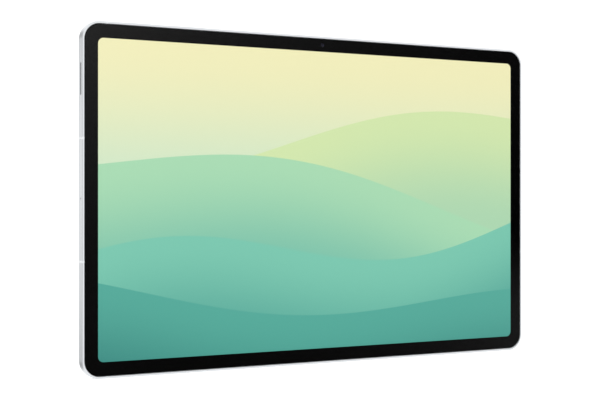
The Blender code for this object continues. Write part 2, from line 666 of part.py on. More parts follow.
def make_usb_port():
    back = HALF_WIDTH - USB_DEPTH - 0.15 * MM
    mouth = HALF_WIDTH - 0.15 * MM
    shell = block("usb_port_shell", (back, mouth), around(USB_Y, USB_HEIGHT), around(0, USB_WIDTH),
                  "stamped_steel", X, USB_HEIGHT / 2 * NEARLY, 6)
    inner = USB_HEIGHT - 2 * USB_SHELL
    cut(shell, block("usb_port_inside", (back + USB_SHELL, mouth + PAST), around(USB_Y, inner),
                     around(0, USB_WIDTH - 2 * USB_SHELL), None, X, inner / 2 * NEARLY, 6))
    block("usb_port_tongue", (back + USB_SHELL + LAYER_GAP, mouth - 0.8 * MM), around(USB_Y, 0.7 * MM),
          around(0, 6.7 * MM), "black_plastic", Y, 0.4 * MM, 2)


# Sound.


def make_speaker(side):
    """A speaker box in a corner of the cavity, open to its slot, with the cone that moves in it."""
    def across(near, far):
        return tuple(sorted((side * near, side * far)))

    inner_x, outer_x = SPEAKER_X
    box = block(mirrored_name("speaker_{}_box", side), across(inner_x, outer_x), SPEAKER_Y, SPEAKER_Z,
                "black_plastic", Y, 1.0 * MM, 2)
    join(box, block(mirrored_name("speaker_{}_nose", side), across(outer_x - NOSE_LENGTH, outer_x),
                    (LEDGE_BACK + SET_GAP, NOSE_BACK), NOSE_Z, None))
    cut(box,
        block(mirrored_name("speaker_{}_well", side), across(*WELL_X), (SPEAKER_Y[0] - PAST, WELL_BOTTOM),
              WELL_Z, None, Y, WELL_CORNER, 4),
        block(mirrored_name("speaker_{}_duct", side), across(WELL_X[1] - 2 * MM, outer_x + PAST),
              around(DUCT_Y, DUCT_HEIGHT), DUCT_Z, None))
    bm = box_mesh((WELL_X[1] - WELL_X[0] - 2 * CONE_GAP, CONE_SHEET, WELL_Z[1] - WELL_Z[0] - 2 * CONE_GAP),
                  Y, WELL_CORNER - CONE_GAP, 4)
    round_rim(bm, -CONE_SHEET / 2, 0.12 * MM, 1)
    place(mirrored_name("speaker_{}_cone", side), bm,
          (side * sum(WELL_X) / 2, CONE_Y, sum(WELL_Z) / 2), "speaker_cone")
    make_grille(side)


def make_grille(side):
    middle = side * (HALF_WIDTH - 0.6 * WALL - LAYER_GAP - GRILLE_SHEET / 2)
    length, height = SLOT_LENGTH + 0.8 * MM, SLOT_HEIGHT + 0.2 * MM
    grille = block(mirrored_name("speaker_{}_grille", side), around(middle, GRILLE_SHEET),
                   around(PORT_LINE, height), around(SLOT_Z, length), "speaker_mesh")
    pitch = SLOT_LENGTH / GRILLE_HOLES
    cut(grille, *[
        cylinder(mirrored_name(f"grille_{{}}_hole_{i}", side),
                 (middle, PORT_LINE, SLOT_Z + (i + 0.5) * pitch - SLOT_LENGTH / 2), X, GRILLE_HOLE_RADIUS,
                 2 * MM, None, 6)
        for i in range(GRILLE_HOLES)
    ])


def make_microphone():
    block("microphone", (-148.9 * MM, -147.9 * MM), (-1.0 * MM, 1.6 * MM), around(MIC_Z, 3.5 * MM),
          "stamped_steel")


# Cameras.


def make_rear_camera():
    x, z = REAR_CAMERA
    top = BACK + RING_PROUD
    flange_top = FLOOR_TOP - LAYER_GAP
    flange_bottom = flange_top - RING_FLANGE_DEPTH
    bore, rebate = WINDOW_RADIUS - 0.55 * MM, WINDOW_RADIUS + 0.15 * MM
    turned("rear_camera_ring", [
        (RING_RADIUS - 0.35 * MM, top), (RING_RADIUS, top - 0.35 * MM), (RING_RADIUS, flange_top),
        (RING_FLANGE_RADIUS, flange_top), (RING_FLANGE_RADIUS, flange_bottom), (bore, flange_bottom),
        (bore, top - 0.45 * MM), (rebate, top - 0.45 * MM), (rebate, top),
    ], (x, 0, z), "silver_aluminium", 32)
    cylinder("rear_camera_window", (x, top - 0.25 * MM, z), Y, WINDOW_RADIUS, 0.3 * MM, "lens_glass", 32)

    y = (-0.3 * MM, flange_bottom - LAYER_GAP)
    half = REAR_CAMERA_SIDE / 2
    body = block("rear_camera_body", (x - half, x + half), y, (z - half, z + half), "black_plastic",
                 Y, 0.6 * MM, 2)
    tower_top = 3.05 * MM
    join(body, cylinder("camera_tower", (x, (y[1] - 0.3 * MM + tower_top) / 2, z), Y, 4.7 * MM,
                        tower_top - y[1] + 0.3 * MM, None, 24))
    floor = 0.7 * MM
    cut(body, cylinder("camera_bore", (x, (floor + tower_top + PAST) / 2, z), Y, BARREL_RADIUS + 0.2 * MM,
                       tower_top + PAST - floor, None, 24))
    barrel = cylinder("rear_camera_lens", (x, (floor + 0.2 * MM + tower_top) / 2, z), Y, BARREL_RADIUS,
                      tower_top - floor - 0.2 * MM, "lens_glass", 24)
    cut(barrel, cylinder("lens_dish", (x, tower_top + 0.3 * MM, z), Y, 2.0 * MM, 1.2 * MM, None, 24,
                         top_radius=3.0 * MM))


def make_front_camera():
    half = FRONT_CAMERA_SIDE / 2
    y = (-1.4 * MM, 1.9 * MM)
    body = block("front_camera_body", (-half, half), y, (FRONT_CAMERA_Z - half, FRONT_CAMERA_Z + half),
                 "black_plastic", Y, 0.4 * MM, 2)
    lens_front = FILM_BACK + 0.12 * MM
    cut(body, cylinder("front_camera_bore", (0, y[0], FRONT_CAMERA_Z), Y, 1.8 * MM, 1.0 * MM, None, 16))
    lens_back = y[0] + 0.4 * MM
    cylinder("front_camera_lens", (0, (lens_front + lens_back) / 2, FRONT_CAMERA_Z), Y, 1.65 * MM,
             lens_back - lens_front, "lens_glass", 16)


# Keys.


def make_key(name, x, length, posts, parent, about):
    """A key cap with the flange that keeps it in the case and the posts that press its switches."""
    top, bottom = HALF_HEIGHT + KEY_PROUD, FLANGE_TOP - 0.1 * MM
    size = (length, KEY_HEIGHT, top - bottom)
    bm = box_mesh(size, Z, KEY_HEIGHT / 2 - SET_GAP, 4)
    round_rim(bm, size[2] / 2, 0.2 * MM, 2, Z)
    cap = place(name, bm, Vector((x, KEY_Y, (top + bottom) / 2)) - Vector(about), "silver_aluminium",
                parent=parent)
    flange = block(f"{name}_flange", around(x, length + 2 * FLANGE_REACH), around(KEY_Y, FLANGE_HEIGHT),
                   (FLANGE_TOP - FLANGE_DEPTH, FLANGE_TOP), None, parent=parent, about=about)
    feet = [
        cylinder(f"{name}_post_{i}", Vector((x + offset, KEY_Y, FLANGE_TOP - FLANGE_DEPTH)) - Vector(about),
                 Z, POST_RADIUS, 2 * POST_LENGTH, None, 10, parent=parent)
        for i, offset in enumerate(posts)
    ]
    join(cap, flange, *feet)
    return cap


def make_keys():
    power = make_key("power_key", POWER_X, POWER_LENGTH, (0,), centre, (0, 0, 0))
    top = HALF_HEIGHT + KEY_PROUD
    sensor_length, sensor_height = POWER_LENGTH - 3.0 * MM, KEY_HEIGHT - 0.8 * MM
    cut(power, block("sensor_pocket", around(POWER_X, sensor_length + 2 * SET_GAP),
                     around(KEY_Y, sensor_height + 2 * SET_GAP), (top - 0.3 * MM, top + PAST), None,
                     Z, sensor_height / 2, 4))
    block("fingerprint_sensor", around(POWER_X, sensor_length), around(KEY_Y, sensor_height),
          (top - 0.25 * MM, top - 0.03 * MM), "sensor_coating", Z, sensor_height / 2 * NEARLY, 4)

    rock_at = (VOLUME_X, KEY_Y, FLANGE_TOP - FLANGE_DEPTH / 2)
    rock = pivot("volume_key_pivot", rock_at, centre)
    make_key("volume_key", VOLUME_X, VOLUME_LENGTH, (-VOLUME_POST_X, VOLUME_POST_X), rock, rock_at)

    for name, x in (("power_switch", POWER_X), ("volume_up_switch", VOLUME_X - VOLUME_POST_X),
                    ("volume_down_switch", VOLUME_X + VOLUME_POST_X)):
        cylinder(name, (x, KEY_Y, SWITCH_TOP - SWITCH_DEPTH / 2), Z, 1.2 * MM, SWITCH_DEPTH,
                 "stamped_steel", 12, top_radius=0.7 * MM)
    flex_top = SWITCH_TOP - SWITCH_DEPTH - LAYER_GAP
    reach = (-123 * MM, -73 * MM)
    block("key_flex", reach, (-1.0 * MM, 1.5 * MM), (flex_top - 0.15 * MM, flex_top), "flex_film")
    plate = flex_top - 0.15 * MM - LAYER_GAP - 0.15 * MM
    bracket = strip("key_bracket", [(-1.0 * MM, plate), (1.8 * MM, plate), (1.8 * MM, 88.3 * MM)], reach,
                    "stamped_steel", 0.3 * MM)
    cut(bracket, *screw_holes("key"))


# Card tray.


def make_card_tray():
    bezel_z = (HALF_HEIGHT - BEZEL_DEPTH, HALF_HEIGHT)
    tray = block("card_tray", around(TRAY_X, BEZEL_LENGTH), around(TRAY_Y, BEZEL_HEIGHT), bezel_z,
                 "silver_aluminium", Z, BEZEL_HEIGHT / 2 * NEARLY, 4)
    join(tray, block("tray_frame", FRAME_X, FRAME_Y, (FRAME_BOTTOM, bezel_z[0] + 0.3 * MM), None))
    left, right = FRAME_X[0] + TRAY_MARGIN, FRAME_X[1] - TRAY_MARGIN
    split = left + SMALL_CARD[0]
    cut(tray,
        block("small_card_seat", (left, split), (FRAME_Y[0] - PAST, FRAME_Y[1] - SEAT_FLOOR),
              (SEAT_TOP - SMALL_CARD[1], SEAT_TOP), None),
        block("large_card_seat", (split + TRAY_RIB, right), (FRAME_Y[0] - PAST, FRAME_Y[1] + PAST),
              (SEAT_TOP - LARGE_CARD_LENGTH, SEAT_TOP), None),
        cylinder("pin_hole", (sum(ROD_X) / 2, TRAY_Y, HALF_HEIGHT), Z, PIN_HOLE_RADIUS, 4 * MM, None, 10))
    grow = 0.3 * MM
    seal_z = (bezel_z[0] - 1.1 * MM, bezel_z[0] - 0.5 * MM)
    seal = block("card_tray_seal", (FRAME_X[0] - grow, FRAME_X[1] + grow),
                 (FRAME_Y[0] - grow, FRAME_Y[1] + grow), seal_z, "tray_rubber", Z, 0.3 * MM, 2)
    cut(seal, block("seal_hole", (FRAME_X[0] - LAYER_GAP, FRAME_X[1] + LAYER_GAP),
                    (FRAME_Y[0] - LAYER_GAP, FRAME_Y[1] + LAYER_GAP), (0, HALF_HEIGHT), None))


def make_eject_linkage():
    """The socket's cage, and the rod, lever and plate that push the tray out when a pin presses the rod."""
    link_y = (FRAME_Y[0] + 0.1 * MM, FRAME_Y[1] - 0.1 * MM)
    lever_top = PIVOT_Z + LEVER_DEPTH / 2
    block("eject_rod", ROD_X, link_y, (lever_top + LINK_GAP, HALF_HEIGHT - 2.9 * MM), "stamped_steel")
    block("eject_plate", (FRAME_X[0], FRAME_X[1]), link_y,
          (lever_top + LINK_GAP, FRAME_BOTTOM - EJECT_STROKE - 0.2 * MM), "stamped_steel")
    lever = block("eject_lever", (PIVOT_X - LEVER_ARM - 0.6 * MM, PIVOT_X + LEVER_ARM + 0.6 * MM), link_y,
                  (PIVOT_Z - LEVER_DEPTH / 2, lever_top), "stamped_steel", Y, LEVER_DEPTH / 2 * NEARLY, 4)
    cut(lever, cylinder("lever_hole", (PIVOT_X, link_y[0], PIVOT_Z), Y, PIVOT_RADIUS - 0.05 * MM, 4 * MM,
                        None, 12))

    x = (ROD_X[0] - 0.7 * MM, FRAME_X[1] + 1.1 * MM)
    y = (FRAME_Y[0] - 0.3 * MM, BOARD_FRONT - LAYER_GAP)
    z = (PIVOT_Z - 2.6 * MM, HALF_HEIGHT - 2.45 * MM)
    sheet = 0.15 * MM
    cage = block("card_socket", x, y, z, "stamped_steel")
    cut(cage, block("socket_inside", (x[0] + sheet, x[1] - sheet), (y[0] + sheet, y[1] - sheet),
                    (z[0] + sheet, z[1] + PAST), None))
    join(cage, cylinder("lever_pin", (PIVOT_X, (y[0] + y[1]) / 2, PIVOT_Z), Y, PIVOT_RADIUS - 0.13 * MM,
                        y[1] - y[0] - 0.1 * MM, None, 12))


# Keyboard contacts and screws.


def make_keyboard_contacts():
    low = -HALF_HEIGHT
    contact_block = block("keyboard_contact_block", around(0, CONTACT_BLOCK_LENGTH),
                          around(CONTACT_Y, CONTACT_BLOCK_HEIGHT), (low, low + CONTACT_BLOCK_DEPTH),
                          "antenna_plastic",
                          Z, CONTACT_BLOCK_HEIGHT / 2 * NEARLY, 4)
    join(contact_block, block("contact_flange", around(0, CONTACT_BLOCK_LENGTH + 2 * MM), CONTACT_FLANGE_Y,
                              (low + WALL + SET_GAP, low + CONTACT_BLOCK_DEPTH - SET_GAP), None))
    places = {"left": -CONTACT_PITCH, "middle": 0.0, "right": CONTACT_PITCH}
    cut(contact_block, *[
        cylinder(f"contact_bore_{name}", (x, CONTACT_Y, low), Z, CONTACT_RADIUS + SET_GAP, 8 * MM, None, 16)
        for name, x in places.items()
    ])
    for name, x in places.items():
        cylinder(f"keyboard_contact_{name}", (x, CONTACT_Y, low + CONTACT_LENGTH / 2), Z, CONTACT_RADIUS,
                 CONTACT_LENGTH, "gold_contact", 16)


def make_screws():
    for name, (x, z, face) in SCREWS.items():
        head_back = face - LAYER_GAP
        screw = cylinder(name, (x, head_back - SCREW_HEAD_DEPTH / 2, z), Y, SCREW_HEAD_RADIUS,
                         SCREW_HEAD_DEPTH, "stamped_steel", 12)
        join(screw, cylinder(f"{name}_shank", (x, (head_back - 0.1 * MM + SCREW_TIP) / 2, z), Y,
                             SCREW_RADIUS, SCREW_TIP - head_back + 0.1 * MM, None, 8))
        cut(screw, block(f"{name}_slot", around(x, 1.6 * MM), (head_back - SCREW_HEAD_DEPTH - PAST,
                         head_back - SCREW_HEAD_DEPTH / 2), around(z, 0.35 * MM), None))


def main():
    start()
    make_rear_housing()
    make_antenna_frame()
    make_display()
    make_battery()
    make_boards()
    make_usb_port()
    for side in (-1, 1):
        make_speaker(side)
    make_microphone()
    make_rear_camera()
    make_front_camera()
    make_keys()
    make_card_tray()
    make_eject_linkage()
    make_keyboard_contacts()
    make_screws()


main()
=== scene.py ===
"""Finish, light and camera for the tablet computer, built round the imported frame."""
import json
import math

import bmesh
import bpy
from mathutils import Matrix, Vector


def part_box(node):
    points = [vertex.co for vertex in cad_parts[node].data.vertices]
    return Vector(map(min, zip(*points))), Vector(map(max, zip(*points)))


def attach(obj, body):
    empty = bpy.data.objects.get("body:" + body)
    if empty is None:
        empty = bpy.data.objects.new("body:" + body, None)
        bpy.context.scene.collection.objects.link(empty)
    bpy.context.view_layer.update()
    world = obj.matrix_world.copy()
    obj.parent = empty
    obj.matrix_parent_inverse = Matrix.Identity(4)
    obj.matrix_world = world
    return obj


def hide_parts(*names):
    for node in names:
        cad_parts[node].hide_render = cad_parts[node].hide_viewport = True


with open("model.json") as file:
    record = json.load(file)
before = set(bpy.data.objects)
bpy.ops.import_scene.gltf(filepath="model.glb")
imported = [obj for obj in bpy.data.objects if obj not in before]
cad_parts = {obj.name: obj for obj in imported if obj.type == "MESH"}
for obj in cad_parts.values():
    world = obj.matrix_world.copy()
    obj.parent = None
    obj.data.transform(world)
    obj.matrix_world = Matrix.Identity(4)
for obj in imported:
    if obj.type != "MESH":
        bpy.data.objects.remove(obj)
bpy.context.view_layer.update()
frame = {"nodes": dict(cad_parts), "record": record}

MM = 0.001
NODES = frame["nodes"]

# Sizes read from the frame.
HOUSE_LOW, HOUSE_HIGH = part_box("rear_housing")
GLASS_LOW, GLASS_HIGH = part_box("cover_glass")
FRONT, BACK = HOUSE_LOW.y, HOUSE_HIGH.y
HALF_X = HOUSE_HIGH.x
HALF_Z = (HOUSE_HIGH.z - HOUSE_LOW.z) / 2
MID_Z = (HOUSE_HIGH.z + HOUSE_LOW.z) / 2

# Sizes that the frame's boxes don't state.
CORNER = 10.2 * MM
WALL = 1.15 * MM
FLOOR_TOP = BACK - 0.65 * MM
BACK_ROUND = 0.5 * MM
LIP_ROUND = 0.35 * MM
SET_GAP = 0.1 * MM
RUN_GAP = 0.15 * MM
PAST = 1.0 * MM
SCREEN_HALF_X, SCREEN_HALF_Z = 141.4 * MM, 88.4 * MM
SCREEN_CORNER = 3.2 * MM
BAND_WIDTH, BAND_GAP, BAND_REACH = 1.2 * MM, 0.03 * MM, 3.1 * MM
SIDE_BAND_Z, EDGE_BAND_X = 33.5 * MM, 136.3 * MM
PORT_LINE = -0.55 * MM
SLOT_LENGTH, SLOT_HEIGHT, SLOT_Z = 17.8 * MM, 1.2 * MM, MID_Z + 65.7 * MM
MIC_Z = MID_Z + 0.8 * MM
PICTURE_STRENGTH = 1.08
PICTURE_EDGE = 0.004
PICTURE_LINES = 900.0
MIC_RADIUS = 0.5 * MM
GRILLE_HOLE = 0.115 * MM
# Depths of the microphone gauze below the surface. It is set shallow, so its black also stands in for
# painted shade in the hole.
MIC_GAUZE_AND_SHADE = (0.03 * MM, 0.13 * MM)


# Mesh helpers.


def outline(half_a, half_b, corner, steps):
    """Points (a, b) round a rectangle with rounded corners."""
    corner = max(min(corner, half_a, half_b), 1e-7)
    points = []
    for quarter, (sa, sb) in enumerate(((1, 1), (-1, 1), (-1, -1), (1, -1))):
        for i in range(steps + 1):
            turn = math.pi / 2 * (quarter + i / steps)
            points.append((sa * (half_a - corner) + corner * math.cos(turn),
                           sb * (half_b - corner) + corner * math.sin(turn)))
    return points


def oriented(facing, a, b, depth):
    """A point from its two coordinates across a facing axis and its depth along it."""
    return {"Y": Vector((a, depth, b)), "Z": Vector((a, b, depth)), "X": Vector((depth, b, a))}[facing]


def lofted(facing, centre, half_a, half_b, corner, profile, steps=12):
    """A closed bmesh through outlines: profile lists (depth, inset) in order, capped at both ends."""
    bm = bmesh.new()
    rings = []
    for depth, inset in profile:
        points = outline(half_a - inset, half_b - inset, corner - inset, steps)
        rings.append([bm.verts.new(oriented(facing, centre[0] + a, centre[1] + b, depth))
                      for a, b in points])
    count = len(rings[0])
    for lower, upper in zip(rings, rings[1:]):
        for i in range(count):
            j = (i + 1) % count
            bm.faces.new((lower[i], lower[j], upper[j], upper[i]))
    bm.faces.new(rings[0])
    bm.faces.new(rings[-1])
    bmesh.ops.remove_doubles(bm, verts=bm.verts, dist=2e-7)
    bmesh.ops.recalc_face_normals(bm, faces=bm.faces)
    return bm


def arc(depth, inset, radius, start, end, steps):
    """Profile points on an arc about (depth, inset), between two angles in degrees."""
    return [
        (depth + radius * math.cos(math.radians(start + (end - start) * i / steps)),
         inset + radius * math.sin(math.radians(start + (end - start) * i / steps)))
        for i in range(steps + 1)
    ]


def soft_profile(low, high, low_round, high_round, steps=4):
    """The profile of a plate whose two rims are rounded."""
    lower = arc(low + low_round, low_round, low_round, 180, 270, steps) if low_round else [(low, 0)]
    upper = arc(high - high_round, high_round, high_round, 270, 360, steps) if high_round else [(high, 0)]
    return lower + upper


def plate(facing, centre, half_a, half_b, corner, low, high, low_round=0.0, high_round=0.0, steps=12):
    return lofted(facing, centre, half_a, half_b, corner, soft_profile(low, high, low_round, high_round),
                  steps)


def revolved(centre, profile, steps=64):
    """A solid turned about an axis along Y from (radius, y) points. A radius of 0 closes an end."""
    bm = bmesh.new()
    rings = []
    for radius, y in profile:
        if radius < 1e-9:
            rings.append([bm.verts.new((centre[0], y, centre[1]))])
            continue
        rings.append([bm.verts.new((centre[0] + radius * math.cos(2 * math.pi * i / steps), y,
                                    centre[1] + radius * math.sin(2 * math.pi * i / steps)))
                      for i in range(steps)])
    pairs = list(zip(rings, rings[1:]))
    if profile[0][0] > 1e-9:
        pairs.append((rings[-1], rings[0]))
    for first, second in pairs:
        for i in range(steps):
            j = (i + 1) % steps
            if len(first) == 1:
                bm.faces.new((first[0], second[j], second[i]))
            elif len(second) == 1:
                bm.faces.new((first[i], first[j], second[0]))
            else:
                bm.faces.new((first[i], first[j], second[j], second[i]))
    bmesh.ops.recalc_face_normals(bm, faces=bm.faces)
    return bm


def add(name, bm):
    mesh = bpy.data.meshes.new(name)
    bm.to_mesh(mesh)
    bm.free()
    obj = bpy.data.objects.new(name, mesh)
    bpy.context.scene.collection.objects.link(obj)
    return obj


def apply(obj):
    """Makes the object's mesh what its modifiers give, and drops them."""
    graph = bpy.context.evaluated_depsgraph_get()
    mesh = bpy.data.meshes.new_from_object(obj.evaluated_get(graph))
    obj.modifiers.clear()
    old = obj.data
    obj.data = mesh
    bpy.data.meshes.remove(old)


def boolean(obj, operation, tools):
    """One exact Boolean with every tool bmesh, applied at once."""
    group = bpy.data.collections.new("tools")
    bpy.context.scene.collection.children.link(group)
    made = []
    for i, bm in enumerate(tools):
        mesh = bpy.data.meshes.new(f"tool_{i}")
        bm.to_mesh(mesh)
        bm.free()
        tool = bpy.data.objects.new(f"tool_{i}", mesh)
        group.objects.link(tool)
        made.append(tool)
    modifier = obj.modifiers.new("boolean", "BOOLEAN")
    modifier.operation = operation
    modifier.operand_type = "COLLECTION"
    modifier.collection = group
    modifier.solver = "EXACT"
    bpy.context.view_layer.update()
    apply(obj)
    for tool in made:
        mesh = tool.data
        bpy.data.objects.remove(tool)
        bpy.data.meshes.remove(mesh)
    bpy.data.collections.remove(group)


def finish(obj, material, body, nodes=(), angle=32):
    """Shades a piece, gives it its material, ties it to its body, and hides the CAD nodes it stands for."""
    obj.data.shade_smooth()
    obj.data.set_sharp_from_angle(angle=math.radians(angle))
    weighted = obj.modifiers.new("normals", "WEIGHTED_NORMAL")
    weighted.keep_sharp = True
    weighted.mode = "FACE_AREA"
    weighted.weight = 100
    obj.data.materials.clear()
    obj.data.materials.append(material)
    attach(obj, body)
    if nodes:
        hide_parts(*nodes)
    return obj


# Material helpers.


def linear(red, green, blue):
    """A colour given as 0-255 display values, in linear light."""
    def one(v):
        v /= 255
        return v / 12.92 if v <= 0.04045 else ((v + 0.055) / 1.055) ** 2.4
    return (one(red), one(green), one(blue), 1.0)


class Tree:
    """A short way to write a material's nodes."""

    def __init__(self, owner):
        owner.use_nodes = True
        self.tree = owner.node_tree
        self.tree.nodes.clear()

    def feed(self, socket, value):
        if isinstance(value, bpy.types.NodeSocket):
            self.tree.links.new(value, socket)
        else:
            socket.default_value = value

    def maths(self, operation, a, b=0.0, c=0.0, clamp=False):
        node = self.tree.nodes.new("ShaderNodeMath")
        node.operation = operation
        node.use_clamp = clamp
        for socket, value in zip(node.inputs, (a, b, c)):
            self.feed(socket, value)
        return node.outputs[0]

    def blend(self, share, a, b):
        """A number between a, at a share of 0, and b, at a share of 1."""
        kept = self.maths("MULTIPLY", self.maths("SUBTRACT", 1.0, share), a)
        return self.maths("ADD", kept, self.maths("MULTIPLY", share, b))

    def vector(self, operation, a, b=(0, 0, 0)):
        node = self.tree.nodes.new("ShaderNodeVectorMath")
        node.operation = operation
        self.feed(node.inputs[0], a)
        self.feed(node.inputs[1], b)
        return node.outputs["Value" if operation in ("DOT_PRODUCT", "LENGTH", "DISTANCE") else "Vector"]

    def ranged(self, value, low, high, to_low=0.0, to_high=1.0, smooth=True):
        node = self.tree.nodes.new("ShaderNodeMapRange")
        node.interpolation_type = "SMOOTHSTEP" if smooth else "LINEAR"
        for name, given in (("Value", value), ("From Min", low), ("From Max", high), ("To Min", to_low),
                            ("To Max", to_high)):
            self.feed(node.inputs[name], given)
        return node.outputs["Result"]

    def mix(self, share, a, b, blend="MIX"):
        node = self.tree.nodes.new("ShaderNodeMix")
        node.data_type = "RGBA"
        node.blend_type = blend
        self.feed(node.inputs[0], share)
        self.feed(node.inputs[6], a)
        self.feed(node.inputs[7], b)
        return node.outputs[2]

    def ramp(self, value, stops):
        node = self.tree.nodes.new("ShaderNodeValToRGB")
        ramp = node.color_ramp
        ramp.interpolation = "B_SPLINE"
        while len(ramp.elements) < len(stops):
            ramp.elements.new(0.5)
        for element, (place, colour) in zip(ramp.elements, stops):
            element.position = place
            element.color = colour
        self.feed(node.inputs[0], value)
        return node.outputs[0]

    def noise(self, scale, detail=3.0, vector=None, stretch=None):
        place = vector or self.place()
        if stretch:
            place = self.vector("MULTIPLY", place, stretch)
        node = self.tree.nodes.new("ShaderNodeTexNoise")
        node.inputs["Scale"].default_value = scale
        node.inputs["Detail"].default_value = detail
        self.feed(node.inputs["Vector"], place)
        return node.outputs["Fac"]

    def place(self):
        return self.tree.nodes.new("ShaderNodeTexCoord").outputs["Object"]

    def bump(self, height, strength, distance):
        node = self.tree.nodes.new("ShaderNodeBump")
        node.inputs["Strength"].default_value = strength
        node.inputs["Distance"].default_value = distance
        self.feed(node.inputs["Height"], height)
        return node.outputs["Normal"]

    def principled(self, **inputs):
        node = self.tree.nodes.new("ShaderNodeBsdfPrincipled")
        for key, value in inputs.items():
            self.feed(node.inputs[key.replace("_", " ")], value)
        return node.outputs[0]

    def output(self, shader, kind="ShaderNodeOutputMaterial"):
        node = self.tree.nodes.new(kind)
        self.tree.links.new(shader, node.inputs["Surface"])


def made(name):
    material = bpy.data.materials.new(name)
    return material, Tree(material)


def grained(name, colour, metallic, roughness, tint=0.04, grain=9000.0, depth=0.004, spread=0.06,
            stretch=None, blotch=60.0, specular=0.5):
    """A worked surface: fine grain in its relief, cloudy variation in its colour and its roughness."""
    material, t = made(name)
    fine = t.noise(grain, 2.0, stretch=stretch)
    cloud = t.noise(blotch, 4.0)
    dark = tuple(c * (1 - 2 * tint) for c in colour[:3]) + (1.0,)
    light = tuple(min(c * (1 + tint), 1.0) for c in colour[:3]) + (1.0,)
    worn = t.maths("ADD", t.maths("MULTIPLY", cloud, 0.6), t.maths("MULTIPLY", fine, 0.4))
    base = t.mix(worn, dark, light)
    rough = t.maths("ADD", roughness - spread, t.maths("MULTIPLY", fine, 2 * spread))
    t.output(t.principled(Base_Color=base, Metallic=metallic, Roughness=rough, Specular_IOR_Level=specular,
                          Normal=t.bump(fine, 0.35, depth * MM)))
    return material


def painted_opening_shade(t):
    """Painted shade mask: 1 on the walls of the slots and the holes in the short sides, where shade falls, 0
    on the outside.
    """
    split = t.tree.nodes.new("ShaderNodeSeparateXYZ")
    t.feed(split.inputs[0], t.place())
    across, through, up = split.outputs
    inside = t.ranged(t.maths("ABSOLUTE", across), HALF_X - 0.04 * MM, HALF_X - 0.16 * MM)
    level = t.ranged(t.maths("ABSOLUTE", t.maths("SUBTRACT", through, PORT_LINE)), 0.75 * MM, 0.65 * MM)
    straight = t.maths("LESS_THAN", t.maths("ABSOLUTE", t.maths("SUBTRACT", up, MID_Z)), HALF_Z - CORNER)
    return t.maths("MULTIPLY", t.maths("MULTIPLY", inside, level), straight)


def aluminium_finish():
    """Bead-blasted, clear-anodised aluminium, with painted shade darkening the walls of the openings."""
    material, t = made("anodised_aluminium")
    blast = t.noise(14000.0, 2.0)
    cloud = t.noise(35.0, 3.0)
    base = t.mix(cloud, linear(226, 229, 232), linear(233, 236, 239))
    # Painted shade: the base colour is darkened on the walls of the openings, where shade falls in the
    # recesses.
    base = t.mix(painted_opening_shade(t), base, linear(150, 153, 156))
    rough = t.maths("ADD", 0.22, t.maths("MULTIPLY", blast, 0.12))
    t.output(t.principled(Base_Color=base, Metallic=1.0, Roughness=rough,
                          Normal=t.bump(blast, 0.22, 0.004 * MM)))
    return material


def glass_finish(name, tint):
    material, t = made(name)
    smear = t.noise(22.0, 4.0)
    colour = t.mix(smear, tint, tuple(c * 0.985 for c in tint[:3]) + (1.0,))
    t.output(t.principled(Base_Color=colour, Roughness=0.0, IOR=1.5, Transmission_Weight=1.0))
    return material


# The swells of the lit picture, from the far one to the near one. Lengths are in picture heights:
# the level of the edge, its slope, the height and number of its waves, where they start, and two colours.
SWELLS = (
    (0.20, 0.10, 0.07, 3.1, 0.4, (214, 234, 176), (176, 218, 180)),
    (0.03, -0.12, 0.09, 2.6, 1.9, (172, 222, 182), (122, 194, 172)),
    (-0.15, 0.08, 0.08, 3.4, 3.6, (126, 202, 178), (80, 162, 150)),
    (-0.33, -0.06, 0.06, 2.9, 5.0, (88, 172, 156), (50, 124, 120)),
)
SWELL_FADE = 0.4
SWELL_SOFT = 0.0016


def swell(t, under, across, up, level, slope, height, waves, start, crest, foot):
    """Lays one broad swell over a colour: everything below a wavy edge, palest along its crest."""
    wave = t.maths("SINE", t.maths("MULTIPLY_ADD", across, waves, start))
    edge = t.maths("ADD", t.maths("MULTIPLY_ADD", across, slope, level), t.maths("MULTIPLY", wave, height))
    below = t.maths("SUBTRACT", edge, up)
    colour = t.mix(t.ranged(below, 0.0, SWELL_FADE), linear(*crest), linear(*foot))
    return t.mix(t.ranged(below, -SWELL_SOFT, SWELL_SOFT), under, colour)


def picture_finish():
    """The lit picture: plain soft swells under a pale sky."""
    material, t = made("lit_picture")
    high = 2 * SCREEN_HALF_Z
    centred = t.vector("SUBTRACT", t.place(), (0, 0, MID_Z))
    place = t.vector("MULTIPLY", centred, (1 / high, 0, 1 / high))
    split = t.tree.nodes.new("ShaderNodeSeparateXYZ")
    t.feed(split.inputs[0], place)
    across, up = split.outputs[0], split.outputs[2]
    colour = t.mix(t.ranged(up, -0.1, 0.5), linear(200, 232, 206), linear(244, 240, 190))
    for shape in SWELLS:
        colour = swell(t, colour, across, up, *shape)
    facing = t.tree.nodes.new("ShaderNodeNewGeometry").outputs["Normal"]
    front = t.ranged(t.vector("DOT_PRODUCT", facing, (0, -1, 0)), 0.4, 0.6)
    half_across = SCREEN_HALF_X / high
    inside_x = t.ranged(t.maths("ABSOLUTE", across), half_across, half_across + PICTURE_EDGE, 1, 0)
    inside_z = t.ranged(t.maths("ABSOLUTE", up), 0.5, 0.5 + PICTURE_EDGE, 1, 0)
    lit = t.maths("MULTIPLY", t.maths("MULTIPLY", inside_x, inside_z), front)
    # The gaps between picture elements, seen only from very near.
    rows = t.maths("PINGPONG", t.maths("MULTIPLY", up, PICTURE_LINES), 1.0)
    columns = t.maths("PINGPONG", t.maths("MULTIPLY", across, PICTURE_LINES), 1.0)
    weave = t.maths("MULTIPLY_ADD", t.maths("MULTIPLY", rows, columns), 0.04, 0.98)
    t.output(t.principled(
        Base_Color=linear(8, 9, 10), Roughness=0.4, Specular_IOR_Level=0.0, Emission_Color=colour,
        Emission_Strength=t.maths("MULTIPLY", t.maths("MULTIPLY", lit, weave), PICTURE_STRENGTH)))
    return material


